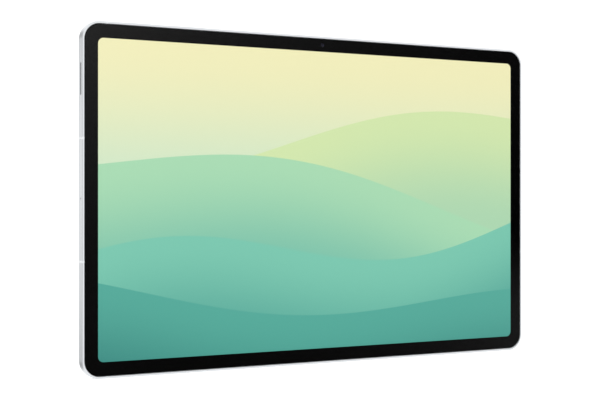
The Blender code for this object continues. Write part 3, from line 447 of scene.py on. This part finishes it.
def board_finish():
    """Green solder resist over copper tracks."""
    material, t = made("printed_board")
    place = t.place()
    brick = t.tree.nodes.new("ShaderNodeTexBrick")
    t.feed(brick.inputs["Vector"], t.vector("MULTIPLY", place, (1, 0, 1)))
    brick.inputs["Scale"].default_value = 420.0
    brick.inputs["Mortar Size"].default_value = 0.06
    turned = t.tree.nodes.new("ShaderNodeVectorRotate")
    turned.inputs["Axis"].default_value = (1, 0, 0)
    turned.inputs["Angle"].default_value = math.pi / 2
    t.feed(turned.inputs["Vector"], place)
    t.feed(brick.inputs["Vector"], turned.outputs[0])
    track = brick.outputs["Fac"]
    cloud = t.noise(150.0, 3.0)
    base = t.mix(track, t.mix(cloud, linear(10, 62, 44), linear(16, 84, 58)), linear(34, 120, 78))
    t.output(t.principled(Base_Color=base, Roughness=t.ranged(cloud, 0, 1, 0.32, 0.48),
                          Normal=t.bump(track, 0.4, 0.03 * MM)))
    return material


def mesh_finish():
    material, t = made("grille_steel")
    fine = t.noise(12000.0, 2.0)
    base = t.mix(fine, linear(84, 87, 91), linear(118, 122, 126))
    t.output(t.principled(Base_Color=base, Metallic=0.9, Roughness=t.ranged(fine, 0, 1, 0.35, 0.5)))
    return material


def lens_finish():
    """A coated lens: nearly black, with a painted violet-green coating reflection that grows towards its
    rim.
    """
    material, t = made("coated_lens")
    layer = t.tree.nodes.new("ShaderNodeLayerWeight")
    layer.inputs["Blend"].default_value = 0.35
    # Painted reflection: the tint that changes with viewing angle stands in for the coloured reflection of
    # the coating.
    painted_coating_reflection = t.ramp(layer.outputs["Facing"], [(0.0, linear(8, 10, 22)), (0.5, linear(24, 18, 52)),
                                             (1.0, linear(20, 60, 66))])
    speck = t.noise(3000.0, 2.0)
    t.output(t.principled(Base_Color=painted_coating_reflection, Roughness=t.ranged(speck, 0, 1, 0.02, 0.06), IOR=1.6,
                          Coat_Weight=1.0, Coat_Roughness=0.01))
    return material


ALUMINIUM = aluminium_finish()
BAND = grained("antenna_moulding", linear(212, 215, 217), 0.0, 0.42, 0.01, 6000.0, 0.003, 0.05)
GLASS = glass_finish("clear_cover", (1.0, 1.0, 1.0, 1.0))
WINDOW = glass_finish("camera_window_glass", (0.93, 0.95, 0.97, 1.0))
INK = grained("black_border_ink", (0.0006, 0.0006, 0.0007, 1.0), 0.0, 0.55, 0.05, 5000.0, 0.001, 0.05,
              specular=0.0)
PICTURE = picture_finish()
FOAM = grained("seal_foam", linear(40, 40, 42), 0.0, 0.85, 0.1, 2500.0, 0.03, 0.06)
STEEL = grained("stamped_steel", linear(186, 188, 190), 1.0, 0.34, 0.04, 3000.0, 0.004, 0.07, (1, 1, 0.05))
FOIL = grained("cell_wrap", linear(46, 47, 50), 0.25, 0.42, 0.08, 900.0, 0.03, 0.08)
BOARD = board_finish()
FLEX = grained("flex_film", linear(176, 112, 34), 0.0, 0.38, 0.06, 1800.0, 0.004, 0.06, (0.1, 1, 1))
BLACK = grained("black_moulding", linear(26, 26, 28), 0.0, 0.5, 0.12, 4500.0, 0.01, 0.08)
GRILLE = mesh_finish()
CONE = grained("speaker_film", linear(44, 44, 48), 0.0, 0.5, 0.1, 2400.0, 0.01, 0.08)
LENS = lens_finish()
SENSOR = grained("sensor_coat", linear(206, 209, 212), 0.8, 0.24, 0.02, 9000.0, 0.001, 0.04)
GOLD = grained("contact_gold", linear(226, 188, 110), 1.0, 0.24, 0.04, 8000.0, 0.002, 0.05)
RUBBER = grained("tray_rubber", linear(34, 34, 36), 0.0, 0.78, 0.1, 3500.0, 0.01, 0.06)
WHITE = grained("diffuser_white", linear(236, 238, 238), 0.0, 0.55, 0.01, 2600.0, 0.003, 0.05)
CLEAR = grained("guide_acrylic", linear(214, 224, 228), 0.0, 0.12, 0.02, 1400.0, 0.003, 0.04)

BY_SLOT = {
    "silver_aluminium": ALUMINIUM, "antenna_plastic": BAND, "cover_glass": GLASS, "border_ink": INK,
    "seal_foam": FOAM, "display_panel": PICTURE, "white_film": WHITE, "light_guide": CLEAR,
    "stamped_steel": STEEL, "battery_foil": FOIL, "circuit_board": BOARD, "flex_film": FLEX,
    "black_plastic": BLACK, "speaker_mesh": GRILLE, "speaker_cone": CONE, "lens_glass": LENS,
    "sensor_coating": SENSOR, "gold_contact": GOLD, "tray_rubber": RUBBER,
}


def finish_frame():
    """Every CAD node gets the procedural finish of its material slot."""
    for part in frame["record"]["subparts"]:
        node = NODES[part["node"]]
        node.data.materials.clear()
        node.data.materials.append(BY_SLOT[part["material_slot"]])


# The case.


def band_places():
    for side in (-1, 1):
        for high in (-1, 1):
            yield (side * HALF_X, MID_Z + high * SIDE_BAND_Z), (side, 0)
            yield (side * EDGE_BAND_X, MID_Z + high * HALF_Z), (0, high)


def block(x, y, z):
    """A plain tool box between pairs of limits."""
    return plate("Y", ((x[0] + x[1]) / 2, (z[0] + z[1]) / 2), (x[1] - x[0]) / 2, (z[1] - z[0]) / 2, 0.0,
                 y[0], y[1], steps=1)


def around(middle, length):
    return (middle - length / 2, middle + length / 2)


def band_box(at, out, inner, y, width):
    limits = []
    for middle, way in zip(at, out):
        limits.append(around(middle, width) if way == 0
                      else tuple(sorted((middle - way * inner, middle + way * PAST))))
    return block(limits[0], y, limits[1])


def outside_profile():
    lip = arc(FRONT + LIP_ROUND, LIP_ROUND, LIP_ROUND, 180, 270, 6)
    back = arc(BACK - BACK_ROUND, BACK_ROUND, BACK_ROUND, 270, 360, 12)
    return lip + back


def stadium(facing, node, grow, low, high, steps=14):
    """A tool with a node's rounded outline across an axis, grown by a gap."""
    lower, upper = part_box(node)
    first, second = {"Z": (0, 1), "X": (2, 1)}[facing]
    centre = ((lower[first] + upper[first]) / 2, (lower[second] + upper[second]) / 2)
    half_a = (upper[first] - lower[first]) / 2 + grow
    half_b = (upper[second] - lower[second]) / 2 + grow
    return plate(facing, centre, half_a, half_b, half_b, low, high, steps=steps)


KEY_Y = 0.1 * MM
KEY_HALF = 1.2 * MM
KEYS = {"power_key": (-115.0 * MM, 6.5 * MM, (0.0,)),
        "volume_key": (-88.0 * MM, 12.0 * MM, (-7.0 * MM, 7.0 * MM))}
TOP = MID_Z + HALF_Z
CONTACT_Y, CONTACT_HALF, CONTACT_HALF_HEIGHT = -0.1 * MM, 9.0 * MM, 1.1 * MM
TRAY_Y, TRAY_HALF_HEIGHT = 0.05 * MM, 1.3 * MM
CAMERA_LOW, CAMERA_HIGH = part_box("rear_camera_ring")
RING_RADIUS = 7.7 * MM
CAMERA = ((CAMERA_LOW.x + CAMERA_HIGH.x) / 2, (CAMERA_LOW.z + CAMERA_HIGH.z) / 2)
TRAY_LOW, TRAY_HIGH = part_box("card_tray")
TRAY_MARGIN, TRAY_RIB, TRAY_SEAT_TOP = 0.6 * MM, 0.5 * MM, 1.6 * MM
SMALL_SEAT, LARGE_SEAT_LENGTH = (9.0 * MM, 12.5 * MM), 15.2 * MM


def make_housing():
    inner = [(FLOOR_TOP, WALL), (FRONT + 0.1 * MM, WALL), (FRONT + 0.03 * MM, WALL - 0.03 * MM),
             (FRONT, WALL - 0.1 * MM)]
    bm = lofted("Y", (0, MID_Z), HALF_X, HALF_Z, CORNER, inner + outside_profile(), 20)
    shell = add("housing_shell", bm)
    tools = [band_box(at, out, BAND_REACH, (FRONT - PAST, BACK + PAST), BAND_WIDTH)
             for at, out in band_places()]
    for side in (-1, 1):
        x = sorted((side * (HALF_X - 2 * WALL), side * (HALF_X + PAST)))
        tools.append(plate("X", (SLOT_Z, PORT_LINE), SLOT_LENGTH / 2, SLOT_HEIGHT / 2, SLOT_HEIGHT / 2,
                           *x, steps=10))
    for x, half, _ in KEYS.values():
        tools.append(plate("Z", (x, KEY_Y), half + RUN_GAP, KEY_HALF + RUN_GAP, KEY_HALF + RUN_GAP,
                           TOP - 2 * WALL, TOP + PAST, steps=14))
    tray_x = (TRAY_LOW.x + TRAY_HIGH.x) / 2
    tools.append(plate("Z", (tray_x, TRAY_Y), (TRAY_HIGH.x - TRAY_LOW.x) / 2 + SET_GAP,
                       TRAY_HALF_HEIGHT + SET_GAP, TRAY_HALF_HEIGHT + SET_GAP, TOP - 2 * WALL, TOP + PAST,
                       steps=14))
    tools.append(plate("Z", (0, CONTACT_Y), CONTACT_HALF + SET_GAP, CONTACT_HALF_HEIGHT + SET_GAP,
                       CONTACT_HALF_HEIGHT + SET_GAP, -PAST, 2 * WALL, steps=14))
    tools.append(stadium("X", "usb_port_shell", SET_GAP, HALF_X - 2 * WALL, HALF_X + PAST))
    tools.append(plate("X", (MIC_Z, PORT_LINE), MIC_RADIUS, MIC_RADIUS, MIC_RADIUS,
                       -HALF_X - PAST, -HALF_X + 2 * WALL, steps=8))
    tools.append(revolved(CAMERA, [(0, BACK - 3 * MM), (RING_RADIUS + SET_GAP, BACK - 3 * MM),
                                   (RING_RADIUS + SET_GAP, BACK + PAST), (0, BACK + PAST)], 96))
    boolean(shell, "DIFFERENCE", tools)
    finish(shell, ALUMINIUM, "case", ("rear_housing",))


def make_antenna_frame():
    """The moulded frame behind the glass, with the fingers that show as bands in the rim."""
    low, high = -2.0 * MM, -1.2 * MM
    edge = WALL + 0.05 * MM
    ledge = 2.4 * MM
    ring = add("antenna_moulding", plate("Y", (0, MID_Z), HALF_X - edge, HALF_Z - edge, CORNER - edge,
                                         low, high, steps=16))
    fingers = []
    width = BAND_WIDTH - 2 * BAND_GAP
    for at, out in band_places():
        fingers.append(band_box(at, out, BAND_REACH - BAND_GAP, (low, BACK + PAST), width))
        fingers.append(band_box(at, out, WALL + BAND_GAP, (FRONT - PAST, low + 0.2 * MM), width))
    boolean(ring, "UNION", fingers)
    boolean(ring, "INTERSECT", [lofted("Y", (0, MID_Z), HALF_X, HALF_Z, CORNER, outside_profile(), 20)])
    boolean(ring, "DIFFERENCE", [
        plate("Y", (0, MID_Z), HALF_X - edge - ledge, HALF_Z - edge - ledge, CORNER - edge - ledge,
              low - 0.2 * MM, high + 0.5 * MM, steps=16),
        block((-2.8 * MM, 2.8 * MM), (FRONT, high + PAST), around(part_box("front_camera_body")[0].z
              + 2.3 * MM, 5.6 * MM)),
        block((HALF_X - 8 * MM, HALF_X - edge + 0.02 * MM), (-1.53 * MM, 0), around(MID_Z, 10.94 * MM)),
    ])
    finish(ring, BAND, "case", ("antenna_frame",))


# The display.


def make_display():
    centre = (0, MID_Z)
    half_x, half_z = GLASS_HIGH.x, (GLASS_HIGH.z - GLASS_LOW.z) / 2
    corner = CORNER - WALL - SET_GAP
    glass = add("front_glass", plate("Y", centre, half_x, half_z, corner, GLASS_LOW.y, GLASS_HIGH.y,
                                     0.22 * MM, 0.06 * MM, 20))
    glass.visible_shadow = False
    finish(glass, GLASS, "case", ("cover_glass",))
    low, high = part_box("border_film")
    mask = add("border_mask", plate("Y", centre, half_x - 0.2 * MM, half_z - 0.2 * MM, corner - 0.2 * MM,
                                    low.y, high.y, steps=20))
    camera_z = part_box("front_camera_lens")[0].z + 1.65 * MM
    boolean(mask, "DIFFERENCE", [
        plate("Y", (0.15 * MM, MID_Z), SCREEN_HALF_X - 0.1 * MM, SCREEN_HALF_Z - 0.08 * MM, SCREEN_CORNER,
              low.y - PAST, high.y + PAST, steps=16),
        revolved((0, camera_z), [(0, low.y - PAST), (1.25 * MM, low.y - PAST), (1.25 * MM, high.y + PAST),
                                 (0, high.y + PAST)], 48)])
    finish(mask, INK, "case", ("border_film",))
    lens_low, lens_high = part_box("front_camera_lens")
    lens = add("front_lens", revolved((0, camera_z), [
        (0, lens_low.y + 0.12 * MM), (0.35 * MM, lens_low.y + 0.14 * MM), (0.7 * MM, lens_low.y + 0.22 * MM),
        (0.72 * MM, lens_low.y + 0.04 * MM), (1.0 * MM, lens_low.y), (1.6 * MM, lens_low.y),
        (1.65 * MM, lens_low.y + 0.05 * MM), (1.65 * MM, lens_high.y), (0, lens_high.y)], 48))
    finish(lens, LENS, "case", ("front_camera_lens",))


# Sound.


def make_grille(side):
    """A fine perforated strip behind each slot, laid out cell by cell with an eight-sided hole in each."""
    name = "right" if side > 0 else "left"
    node = f"speaker_{name}_grille"
    low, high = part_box(node)
    rows, columns = 4, 52
    pitch_y, pitch_z = (high.y - low.y) / rows, (high.z - low.z) / columns
    bm = bmesh.new()
    corners = 8
    for row in range(rows):
        for column in range(columns):
            y, z = low.y + (row + 0.5) * pitch_y, low.z + (column + 0.5) * pitch_z
            rings = []
            for x in (low.x, high.x):
                hole = [(y + GRILLE_HOLE * math.cos(math.pi / 4 * k),
                         z + GRILLE_HOLE * math.sin(math.pi / 4 * k))
                        for k in range(corners)]
                square = [(y + pitch_y / 2 * a, z + pitch_z / 2 * b) for a, b in
                          ((1, 0), (1, 1), (0, 1), (-1, 1), (-1, 0), (-1, -1), (0, -1), (1, -1))]
                rings.append(([bm.verts.new((x, *p)) for p in hole],
                              [bm.verts.new((x, *p)) for p in square]))
            for k in range(corners):
                n = (k + 1) % corners
                for hole, square in rings:
                    bm.faces.new((hole[k], hole[n], square[n], square[k]))
                bm.faces.new((rings[0][0][k], rings[0][0][n], rings[1][0][n], rings[1][0][k]))
                border = ((k in (0, 7) and row == rows - 1) or (k in (3, 4) and row == 0)
                          or (k in (1, 2) and column == columns - 1) or (k in (5, 6) and column == 0))
                if border:
                    bm.faces.new((rings[0][1][k], rings[0][1][n], rings[1][1][n], rings[1][1][k]))
    bmesh.ops.remove_doubles(bm, verts=bm.verts, dist=1e-6)
    bmesh.ops.recalc_face_normals(bm, faces=bm.faces)
    grille = add(f"grille_mesh_{name}", bm)
    finish(grille, GRILLE, "case", (node,))


# Ports and contacts.


def make_usb():
    low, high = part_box("usb_port_shell")
    centre = (MID_Z, (low.y + high.y) / 2)
    half_a, half_b = (high.z - low.z) / 2, (high.y - low.y) / 2
    wall = 0.3 * MM
    shell = add("usb_shell", lofted("X", centre, half_a, half_b, half_b, [
        (low.x + wall, wall), (high.x - 0.06 * MM, wall), (high.x, wall - 0.06 * MM),
        (high.x, 0.06 * MM), (high.x - 0.06 * MM, 0), (low.x + 0.2 * MM, 0), (low.x, 0.2 * MM)], 16))
    finish(shell, STEEL, "case", ("usb_port_shell",))
    low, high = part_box("usb_port_tongue")
    tongue = add("usb_tongue", plate("X", (MID_Z, (low.y + high.y) / 2), (high.z - low.z) / 2,
                                     (high.y - low.y) / 2 - 0.03 * MM, 0.12 * MM, low.x, high.x, 0.0,
                                     0.12 * MM, 4))
    finish(tongue, BLACK, "case", ("usb_port_tongue",))
    pads = bmesh.new()
    for i in range(12):
        z = MID_Z + (i - 5.5) * 0.5 * MM
        for face, way in ((low.y + 0.03 * MM, -1), (high.y - 0.03 * MM, 1)):
            box = block((high.x - 3.4 * MM, high.x - 0.5 * MM),
                        tuple(sorted((face - way * 0.02 * MM, face + way * 0.02 * MM))),
                        around(z, 0.26 * MM))
            mesh = bpy.data.meshes.new("pad")
            box.to_mesh(mesh)
            box.free()
            pads.from_mesh(mesh)
            bpy.data.meshes.remove(mesh)
    finish(add("usb_contacts", pads), GOLD, "case")


def make_contacts():
    _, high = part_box("keyboard_contact_block")
    insert = add("contact_insert", plate("Z", (0, CONTACT_Y), CONTACT_HALF, CONTACT_HALF_HEIGHT,
                                         CONTACT_HALF_HEIGHT, 0.0, high.z, 0.08 * MM, 0.0, 14))
    names = ("left", "middle", "right")
    wells = []
    for name in names:
        a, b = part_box(f"keyboard_contact_{name}")
        x = (a.x + b.x) / 2
        wells.append(plate("Z", (x, CONTACT_Y), 1.0 * MM, 1.0 * MM, 1.0 * MM, -PAST, 4 * MM, steps=14))
        pad = add(f"contact_pad_{name}", plate("Z", (x, CONTACT_Y), 0.9 * MM, 0.9 * MM, 0.9 * MM, 0.02 * MM,
                                               b.z, 0.12 * MM, 0.0, 14))
        finish(pad, GOLD, "case", (f"keyboard_contact_{name}",))
    boolean(insert, "DIFFERENCE", wells)
    finish(insert, BAND, "case", ("keyboard_contact_block",))


# Keys and tray.


def make_keys():
    flange = TOP - 1.6 * MM
    for name, (x, half, posts) in KEYS.items():
        low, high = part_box(name)
        cap = add(f"{name}_cap", plate("Z", (x, KEY_Y), half, KEY_HALF, KEY_HALF, flange - 0.1 * MM, high.z,
                                       0.0, 0.22 * MM, 14))
        parts = [plate("Z", (x, KEY_Y), half + 0.7 * MM, 0.95 * MM, 0.2 * MM, flange - 0.45 * MM, flange,
                       steps=4)]
        parts += [plate("Z", (x + offset, KEY_Y), 0.8 * MM, 0.8 * MM, 0.8 * MM, low.z, flange - 0.3 * MM,
                        steps=8) for offset in posts]
        boolean(cap, "UNION", parts)
        if name == "power_key":
            boolean(cap, "DIFFERENCE", [plate("Z", (x, KEY_Y), 5.1 * MM, 0.9 * MM, 0.9 * MM,
                                              high.z - 0.3 * MM, high.z + PAST, steps=14)])
        finish(cap, ALUMINIUM, name, (name,))
    low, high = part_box("fingerprint_sensor")
    sensor = add("sensor_plate", plate("Z", (KEYS["power_key"][0], KEY_Y), 5.0 * MM, 0.8 * MM, 0.8 * MM,
                                       low.z, high.z, 0.0, 0.06 * MM, 14))
    finish(sensor, SENSOR, "power_key", ("fingerprint_sensor",))


def make_tray():
    """The tray: its bezel with the pin hole, and the carrier with one open and one floored card seat."""
    middle, bezel_low = (TRAY_LOW.x + TRAY_HIGH.x) / 2, TRAY_HIGH.z - 1.05 * MM
    tray = add("tray_carrier", plate("Z", (middle, TRAY_Y), (TRAY_HIGH.x - TRAY_LOW.x) / 2, TRAY_HALF_HEIGHT,
                                     TRAY_HALF_HEIGHT, bezel_low, TRAY_HIGH.z, 0.0, 0.1 * MM, 14))
    left, right = middle - 9.9 * MM, middle + 12.2 * MM
    front, back = 0.05 * MM, 1.05 * MM
    boolean(tray, "UNION", [
        plate("Y", ((left + right) / 2, (TRAY_LOW.z + bezel_low + 0.3 * MM) / 2), (right - left) / 2,
              (bezel_low + 0.3 * MM - TRAY_LOW.z) / 2, 0.25 * MM, front, back, 0.08 * MM, 0.08 * MM, 4)])
    seat_top = bezel_low - TRAY_SEAT_TOP
    first, second = left + TRAY_MARGIN + SMALL_SEAT[0], right - TRAY_MARGIN
    tools = []
    for low_x, high_x, length, floor in ((left + TRAY_MARGIN, first, SMALL_SEAT[1], back - 0.2 * MM),
                                         (first + TRAY_RIB, second, LARGE_SEAT_LENGTH, back + PAST)):
        tools.append(plate("Y", ((low_x + high_x) / 2, seat_top - length / 2), (high_x - low_x) / 2,
                           length / 2, 0.35 * MM, front - PAST, floor, steps=4))
    tools.append(plate("Z", (middle - 11.9 * MM, TRAY_Y), 0.45 * MM, 0.45 * MM, 0.45 * MM,
                       bezel_low - PAST, TRAY_HIGH.z + PAST, steps=8))
    boolean(tray, "DIFFERENCE", tools)
    finish(tray, ALUMINIUM, "card_tray", ("card_tray",))
    low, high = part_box("card_tray_seal")
    seal = add("tray_gasket", plate("Z", ((low.x + high.x) / 2, (low.y + high.y) / 2), (high.x - low.x) / 2,
                                    (high.y - low.y) / 2, 0.3 * MM, low.z, high.z, 0.12 * MM, 0.12 * MM, 4))
    boolean(seal, "DIFFERENCE", [plate("Z", ((left + right) / 2, (front + back) / 2), (right - left) / 2
                                       + 0.02 * MM, (back - front) / 2 + 0.02 * MM, 0.05 * MM,
                                       low.z - PAST, high.z + PAST, steps=2)])
    finish(seal, RUBBER, "card_tray", ("card_tray_seal",))


# The rear camera.


def make_camera():
    top = CAMERA_HIGH.y
    outer, window = RING_RADIUS, 5.45 * MM
    flange = (CAMERA_HIGH.x - CAMERA_LOW.x) / 2
    ring = add("camera_bezel", revolved(CAMERA, [
        (window + 0.15 * MM, top - 0.06 * MM), (window + 0.2 * MM, top - 0.01 * MM),
        (window + 0.26 * MM, top), (outer - 0.45 * MM, top)] + [
        (outer - 0.45 * MM + 0.45 * MM * math.sin(math.pi / 12 * i),
         top - 0.45 * MM + 0.45 * MM * math.cos(math.pi / 12 * i)) for i in range(1, 7)] + [
        (outer, FLOOR_TOP - 0.05 * MM), (flange, FLOOR_TOP - 0.05 * MM), (flange, CAMERA_LOW.y),
        (window - 0.55 * MM, CAMERA_LOW.y), (window - 0.55 * MM, top - 0.45 * MM),
        (window + 0.15 * MM, top - 0.45 * MM)], 96))
    finish(ring, ALUMINIUM, "case", ("rear_camera_ring",))
    low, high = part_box("rear_camera_window")
    pane = add("camera_window", revolved(CAMERA, [
        (0, low.y), (window, low.y), (window, high.y - 0.05 * MM),
        (window - 0.05 * MM, high.y), (0, high.y)], 96))
    pane.visible_shadow = False
    finish(pane, WINDOW, "case", ("rear_camera_window",))
    mask = add("camera_mask", revolved(CAMERA, [
        (3.1 * MM, low.y - 0.045 * MM), (window - 0.05 * MM, low.y - 0.045 * MM),
        (window - 0.05 * MM, low.y - 0.01 * MM), (3.1 * MM, low.y - 0.01 * MM)], 96))
    finish(mask, BLACK, "case")


def make_lens():
    """The moving barrel: stepped baffles down to a domed front element."""
    low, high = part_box("rear_camera_lens")
    radius = (high.x - low.x) / 2
    steps = [(0.05, 0.0), (0.35, 0.0), (0.35, 0.16), (0.72, 0.3), (0.72, 0.46), (1.06, 0.56), (1.06, 0.72),
             (1.36, 0.78), (1.36, 1.05)]
    profile = [(0, low.y), (radius, low.y), (radius, high.y - 0.05 * MM)]
    profile += [(radius - inset * MM, high.y - depth * MM) for inset, depth in steps]
    profile.append((0, high.y - 1.05 * MM))
    barrel = add("lens_barrel", revolved(CAMERA, profile, 72))
    finish(barrel, BLACK, "rear_camera_lens", ("rear_camera_lens",), 20)
    dome = [(0, 0.62), (0.5, 0.635), (0.95, 0.69), (1.35, 0.78), (1.7, 0.89), (1.92, 0.99),
            (1.92, 1.04), (0, 1.04)]
    element = add("lens_element", revolved(CAMERA, [(r * MM, high.y - depth * MM) for r, depth in dome], 72))
    finish(element, LENS, "rear_camera_lens")


def make_mic_gauze_and_shade():
    """The gauze just inside the microphone hole: a real part, set shallow and black so that it also paints
    the shade that falls deeper in the hole.
    """
    radius = MIC_RADIUS - 0.01 * MM
    # Partly painted shade: this dark sheet near the mouth of the hole also stands in for the shade deeper
    # inside.
    gauze_and_shade = add("mic_gauze_and_shade", plate("X", (MIC_Z, PORT_LINE), radius, radius, radius,
                                   -HALF_X + MIC_GAUZE_AND_SHADE[0], -HALF_X + MIC_GAUZE_AND_SHADE[1], steps=8))
    finish(gauze_and_shade, BLACK, "case")


def main():
    finish_frame()
    make_housing()
    make_antenna_frame()
    make_display()
    for side in (-1, 1):
        make_grille(side)
    make_usb()
    make_contacts()
    make_mic_gauze_and_shade()
    make_keys()
    make_tray()
    make_camera()
    make_lens()


main()

# Stage, light and camera.


def make_stage():
    bm = bmesh.new()
    bmesh.ops.create_grid(bm, x_segments=8, y_segments=8, size=6.0)
    floor = add("studio_floor", bm)
    material, t = made("studio_white")
    grain = t.noise(3.0, 2.0)
    base = t.mix(grain, (0.93, 0.93, 0.93, 1), (0.95, 0.95, 0.95, 1))
    t.output(t.principled(Base_Color=base, Roughness=0.9, Specular_IOR_Level=0.1,
                          Emission_Color=(1, 1, 1, 1), Emission_Strength=0.35))
    floor.data.materials.append(material)
    floor.visible_glossy = False
    floor.visible_transmission = False


# The white room: how bright the backdrop is, how bright mirrors see it away from the front and at most
# in front, and the height and half width of the lit strip, as sines of the angle above level.
BACKDROP, SHARP_SHARE, GLOW_LIMIT = 1.15, 0.3, 0.32
STRIP_HEIGHT, STRIP_WIDTH = 0.02, 0.17


def make_world():
    """White all round. Mirror-sharp reflections see a dim front with a soft glow."""
    world = bpy.data.worlds.new("studio")
    bpy.context.scene.world = world
    t = Tree(world)
    way = t.tree.nodes.new("ShaderNodeTexCoord").outputs["Generated"]
    ray = t.tree.nodes.new("ShaderNodeLightPath").outputs
    front = t.ranged(t.vector("DOT_PRODUCT", way, (0, -1, 0)), 0.2, 0.62)
    across = t.vector("DOT_PRODUCT", way, (1, 0, 0))
    height = t.vector("DOT_PRODUCT", way, (0, 0, 1))
    upper = t.maths("EXPONENT", t.maths("ADD", t.maths("MULTIPLY", height, 8.0),
                                        t.maths("MULTIPLY", across, -7.1)))
    side = t.maths("EXPONENT", t.maths("MULTIPLY", t.maths("SUBTRACT", across, 0.62), 12.0))
    lower = t.maths("MULTIPLY", side, t.ranged(height, -0.02, -0.09, 0.0, 0.1))
    glow = t.maths("MINIMUM", t.maths("ADD", upper, lower), GLOW_LIMIT)
    # What a rough metal sees: white cards, and behind to the left a lit strip that fades above and below.
    behind = t.ranged(t.vector("DOT_PRODUCT", way, (0, 1, 0)), 0.3, 0.7)
    steep = t.ranged(t.maths("ABSOLUTE", height), 0.3, 0.5)
    from_strip = t.maths("ABSOLUTE", t.maths("SUBTRACT", height, STRIP_HEIGHT))
    fall = t.maths("POWER", t.maths("DIVIDE", from_strip, STRIP_WIDTH), 2.0)
    band = t.maths("MULTIPLY_ADD", t.maths("EXPONENT", t.maths("MULTIPLY", fall, -1.0)), 0.68, 0.29)
    strip = t.blend(steep, band, 1.0)
    to_left = t.maths("MULTIPLY", behind, t.ranged(across, -0.02, -0.22, 0.0, 1.0))
    card = t.maths("MULTIPLY_ADD", behind, 0.1, 1.02)
    level = t.maths("SUBTRACT", 1.0, steep)
    card = t.maths("SUBTRACT", card, t.maths("MULTIPLY", level, t.ranged(across, -0.55, -0.8, 0.0, 0.5)))
    shade = t.maths("MULTIPLY", t.ranged(across, 0.15, 0.8, 0.0, 0.42),
                    t.ranged(height, 0.75, -0.3, 0.4, 1.0))
    card = t.maths("SUBTRACT", card, t.maths("MULTIPLY", behind, shade))
    soft = t.blend(to_left, card, strip)
    sharp = t.blend(front, t.maths("MULTIPLY", soft, SHARP_SHARE), glow)
    seen = t.blend(ray["Is Singular Ray"], soft, sharp)
    strength = t.blend(ray["Is Camera Ray"], seen, BACKDROP)
    background = t.tree.nodes.new("ShaderNodeBackground")
    background.inputs["Color"].default_value = (1, 1, 1, 1)
    t.feed(background.inputs["Strength"], strength)
    t.output(background.outputs[0], "ShaderNodeOutputWorld")


def make_lamp(name, at, size, power):
    lamp = bpy.data.lights.new(name, "AREA")
    lamp.size = size
    lamp.energy = power
    obj = bpy.data.objects.new(name, lamp)
    bpy.context.scene.collection.objects.link(obj)
    obj.location = at
    obj.rotation_mode = "QUATERNION"
    obj.rotation_quaternion = (Vector((0, 0, MID_Z)) - Vector(at)).to_track_quat("-Z", "Y")
    obj.visible_glossy = False


CAMERA_PLACE = (-0.3936, -0.6755, MID_Z)
CAMERA_WAY = (0.4900, 0.8717, 0)
CAMERA_LENS, CAMERA_FILM = 78.45, 36.0


def make_camera_view():
    """The camera, level with the middle of the tablet and to its left."""
    camera = bpy.data.cameras.new("camera")
    camera.sensor_width = CAMERA_FILM
    camera.lens = CAMERA_LENS
    camera.clip_start = 0.01
    obj = bpy.data.objects.new("camera", camera)
    bpy.context.scene.collection.objects.link(obj)
    obj.location = CAMERA_PLACE
    obj.rotation_mode = "QUATERNION"
    obj.rotation_quaternion = Vector(CAMERA_WAY).to_track_quat("-Z", "Y")
    bpy.context.scene.camera = obj


make_stage()
make_world()
make_lamp("key_lamp", (-0.9, -0.5, 1.1), 0.9, 7.0)
make_lamp("fill_lamp", (0.9, 0.8, 1.0), 1.0, 5.0)
make_camera_view()
bpy.context.scene.view_settings.view_transform = "Standard"
bpy.context.scene.view_settings.look = "None"
